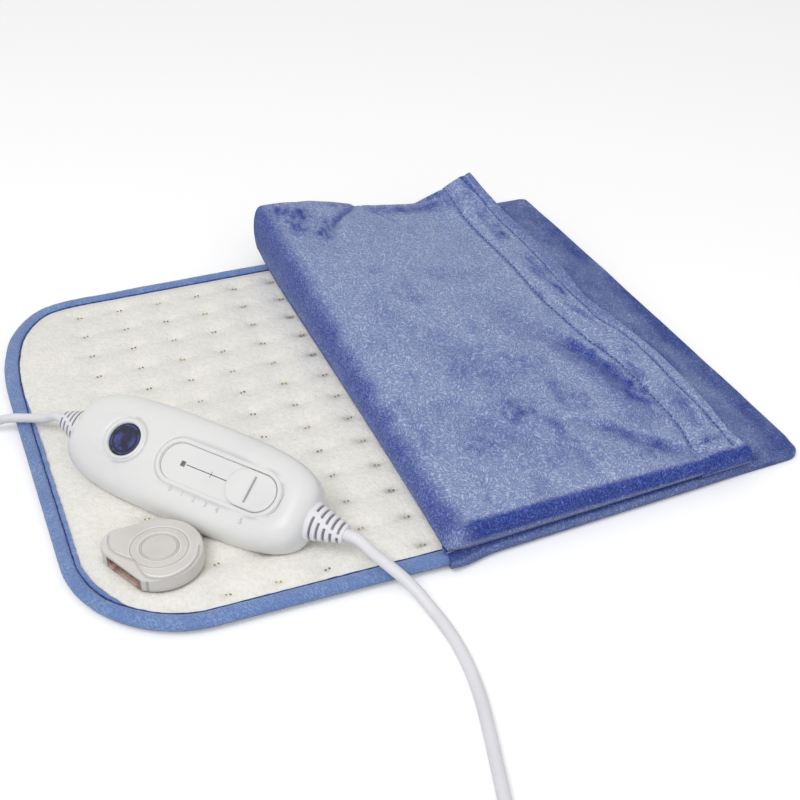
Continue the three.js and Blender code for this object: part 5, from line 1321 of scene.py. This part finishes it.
def nap_shade(x, t, dark):
    """How dark the flap is: dark nap with painted shade on the roll's left side and down the near side, less
    at the near-left corner, and patches and clouds of dark nap.
    """
    y = CUFF_NEAR + t * FLAP_DEPTH
    border = 197 - 11 * t ** 0.6 + 2.5 * lumpy(y / 14, 3, 3)
    dark = max(dark, 0.8 * (1 - eased((x - border + 4) / 12)))
    dark = max(dark, 1 - eased((y - CUFF_NEAR - 3.8) / 4.5))
    dark *= 1 - 0.8 * bump(x, 190, 9) * bump(y, CUFF_NEAR, 5)
    for centre_x, centre_y, wide, deep, strength in NAP_PATCHES:
        away = ((x - centre_x) / wide) ** 2 + ((y - centre_y) / deep) ** 2
        if away < 5:
            ragged = 1.1 + 1.5 * lumpy(x / 3.5, y / 6, 9)
            dark = max(dark, strength * ragged * math.exp(-away))
    cloud = lumpy(x / 15, y / 22, 5) + 0.6 * lumpy(x / 6, y / 9, 14)
    where = 0.25 + 0.75 * bump(t, 0.25, 0.3) * bump(x, 265, 60)
    return min(1, max(0, dark, 0.85 * where * cloud - 0.05) + 0.08 * cloud)


def cuff_section(t):
    """The cuff's section at t, from inside the mouth, round the roll and along to the hem."""
    left, over = roll_left(t), folded_over(t)
    far_end = t ** 10
    # Inside the mouth and under the roll the cloth gets full painted shade.
    section = [
        (COVER_MOUTH + 3, CUFF_FLOOR + 0.7, 0.9), (COVER_MOUTH - 1, CUFF_FLOOR + 0.25, 1),
        (left + 5 + 2 * far_end, CUFF_FLOOR + 0.1, 1), (left + 2.2 + 4 * far_end, CUFF_FLOOR + 0.4, 1),
        (left + 0.7 + 4 * far_end, CUFF_FLOOR + 1.5, 1),
    ]
    for k in range(3, 29):
        turn = math.pi / 2 * k / 28
        x = blend(left, over, 1 - math.cos(turn) ** 0.9)
        height, dark = flap(x, t)
        rolled = math.sin(turn) ** (0.85 + 0.35 * far_end)
        if x < over - 1:
            x += far_end * (4.5 * (1 - rolled) ** 1.5 - 1.6 * math.sin(2 * turn))
        # The roll's darkness eases off low on its side.
        eased_low_on_roll = 0.74 + 0.26 * eased(rolled * 2.2 - 0.3)
        section.append((x, blend(CUFF_FLOOR, height, rolled), nap_shade(x, t, dark) * eased_low_on_roll))
    inner, outer, edge = inner_row(t), outer_row(t), hem_edge(t) - HEM_ROUND
    spans = (
        (over, inner - 4, 92), (inner - 4, inner + 2, 10), (inner + 2, outer - 2, 16),
        (outer - 2, outer + 2, 7), (outer + 2, edge, 6),
    )
    for start, end, parts in spans:
        for k in range(1, parts + 1):
            x = blend(start, end, k / parts)
            height, dark = flap(x, t)
            section.append((x, height, nap_shade(x, t, dark)))
    end_height, end_shade = section[-1][1:]
    for k in range(1, 7):
        turn = math.pi * k / 6
        height = end_height - HEM_ROUND + HEM_ROUND * math.cos(turn)
        section.append((edge + HEM_ROUND * math.sin(turn), height, end_shade))
    # Under the hem's fold: painted shade.
    section.append((edge - 6, end_height - 3.3, 0.9))
    section.append((inner, max(13.2, flap(inner, t)[0] - 3), 0.9))
    return section


def hung(d):
    """The share of its height that the flap has, a distance in from a folded side."""
    return (1 - (1 - clamped(d)) ** 2.5) ** (1 / 2.5)


SIDE_STEPS = [0, 0.1, 0.35, 0.8, 1.4, 2.2, 3.1, 4.2, 5.4]
distances = SIDE_STEPS + list(np.linspace(6.6, FLAP_DEPTH - 6.6, 236))
distances += [FLAP_DEPTH - d for d in reversed(SIDE_STEPS)]
rings, shades = [], []
for distance in distances:
    risen = hung(distance / 4.6) * hung((FLAP_DEPTH - distance) / 3.4)
    ring = []
    for x, height, shade in cuff_section(distance / FLAP_DEPTH):
        over_side = 1.2 + 2.8 * eased((x - ROLL_LEFT) / 14)
        base = (UNDER_ROLL if x < COVER_MOUTH else UNDER_FLAP) - over_side * (1 - eased(distance / 5))
        base -= 1.7 * (1 - eased((FLAP_DEPTH - distance) / 3)) * (x > COVER_MOUTH)
        z = base + max(0, height - base) * risen
        tucked = 2.4 * (1 - eased((z - base) / 3.5)) * (distance < 5)
        ring.append((*leant(x, CUFF_NEAR + distance + tucked), z))
        # Along the near side's bottom edge the darkness drops to 0.3.
        shades.append(shade * (0.3 if distance < 0.2 else 1))
    rings.append(ring)
plush = nap_finish(
    "plush_nap", ("BBC9EA", "AEBDE4"), ("546AC6", "4459B6"), ("8798CE", "2F4190"), ("D2DBF1", "7489D6")
)
cuff = piece("cover_cuff_cloth", *lofted(rings, open_rings=True), "cover", plush, 70)
shaded(cuff, "nap_and_painted_shade", shades)
thicken(cuff, 0.0012)
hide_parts("cover_cuff")

# Hem stitches. Two rows of navy lockstitch hold the doubled hem, closed at the near end by
# a short row across it; each stitch lies sunk in the nap.
STITCH, STITCH_GAP, THREAD_RADIUS = 2.7, 1.3, 0.34


def stitch(start, end):
    """One stitch, a short thread that is thickest in its middle."""
    along = (end - start).normalized()
    aside = along.cross(Vector((0, 0, 1))).normalized()
    up = aside.cross(along)
    rings = []
    for share, thickness in ((0, 0.3), (0.15, 0.8), (0.5, 1), (0.85, 0.8), (1, 0.3)):
        centre = start + (end - start) * share
        rings.append([centre + (aside * c + up * s) * THREAD_RADIUS * thickness for c, s in around(6)])
    return lofted(rings)


def on_flap(x, t):
    """The place of a stitch's end, just above the nap."""
    lean_x, y = leant(x, CUFF_NEAR + t * FLAP_DEPTH)
    return Vector((lean_x, y, flap(x, t)[0] + 0.12))


stitches = []
for row, distance in ((inner_row, 17), (outer_row, 9)):
    while distance < FLAP_DEPTH - 4:
        t, next_t = distance / FLAP_DEPTH, (distance + STITCH) / FLAP_DEPTH
        stitches.append(stitch(on_flap(row(t), t), on_flap(row(next_t), next_t)))
        distance += STITCH + STITCH_GAP
t = 15.5 / FLAP_DEPTH
for k in range(4):
    x = inner_row(t) + k * (STITCH + STITCH_GAP)
    stitches.append(stitch(on_flap(x, t), on_flap(x + STITCH, t + 0.004)))
stitch_navy = finish_of("hem_thread", 0.75, "33437F", (5, "2A3970", "44569A"))
hem_stitches = piece("hem_stitches", *joined(*stitches), "cover", stitch_navy, 80)

# Floor and light. A white studio floor, a soft sky all round, a large lamp above the pad in front and to its
# left, and a weaker fill lamp in front, as in the photograph.
FLOOR_HALF = 6
floor_mesh = bpy.data.meshes.new("floor")
corners = [(FLOOR_HALF * x, FLOOR_HALF * y, 0) for x, y in ((-1, -1), (1, -1), (1, 1), (-1, 1))]
floor_mesh.from_pydata(corners, [], [(0, 1, 2, 3)])
floor = bpy.data.objects.new("floor", floor_mesh)
scene.collection.objects.link(floor)


def seen_straight(owner):
    """1 for the rays that are seen, mirrored or through glass too, and 0 for those that only light."""
    ray = node(owner, "LightPath").outputs
    seen = node(owner, "Math", {0: ray["Is Camera Ray"], 1: ray["Is Glossy Ray"]}, operation="MAXIMUM")
    through = {0: seen.outputs[0], 1: ray["Is Transmission Ray"]}
    return node(owner, "Math", through, operation="MAXIMUM").outputs[0]


paper = finish_of("floor_paper", 0.9, "E8E8E8", Specular_IOR_Level=0.0, Emission_Color=(1, 1, 1, 1))
seen = seen_straight(paper)
surface(paper, "Base Color", between(paper, seen, "D8D8D8", "FFFFFF"))
lifted = node(paper, "Math", {0: seen, 1: 0.17}, operation="MULTIPLY")
surface(paper, "Emission Strength", lifted.outputs[0])
floor_mesh.materials.append(paper)

scene.view_settings.view_transform = "Standard"
world = bpy.data.worlds.new("studio")
scene.world = world
world.use_nodes = True
background = world.node_tree.nodes["Background"]
background.inputs["Color"].default_value = (1, 1, 1, 1)
strength = node(world, "MapRange", {0: seen_straight(world), 3: 0.55, 4: 1})
world.node_tree.links.new(strength.outputs[0], background.inputs["Strength"])


def soft_lamp(name, at, aim, size, power):
    lamp = bpy.data.lights.new(name, "AREA")
    lamp.shape = "DISK"
    lamp.size = size
    lamp.energy = power
    made = bpy.data.objects.new(name, lamp)
    scene.collection.objects.link(made)
    made.location = at
    made.rotation_euler = (Vector(aim) - Vector(at)).to_track_quat("-Z", "Y").to_euler()


soft_lamp("key_lamp", (-0.8, -0.7, 1.45), (0, 0, 0), size=0.9, power=12)
soft_lamp("fill_lamp", (0.3, -1.3, 1.1), (0, 0, 0), size=1.4, power=3)
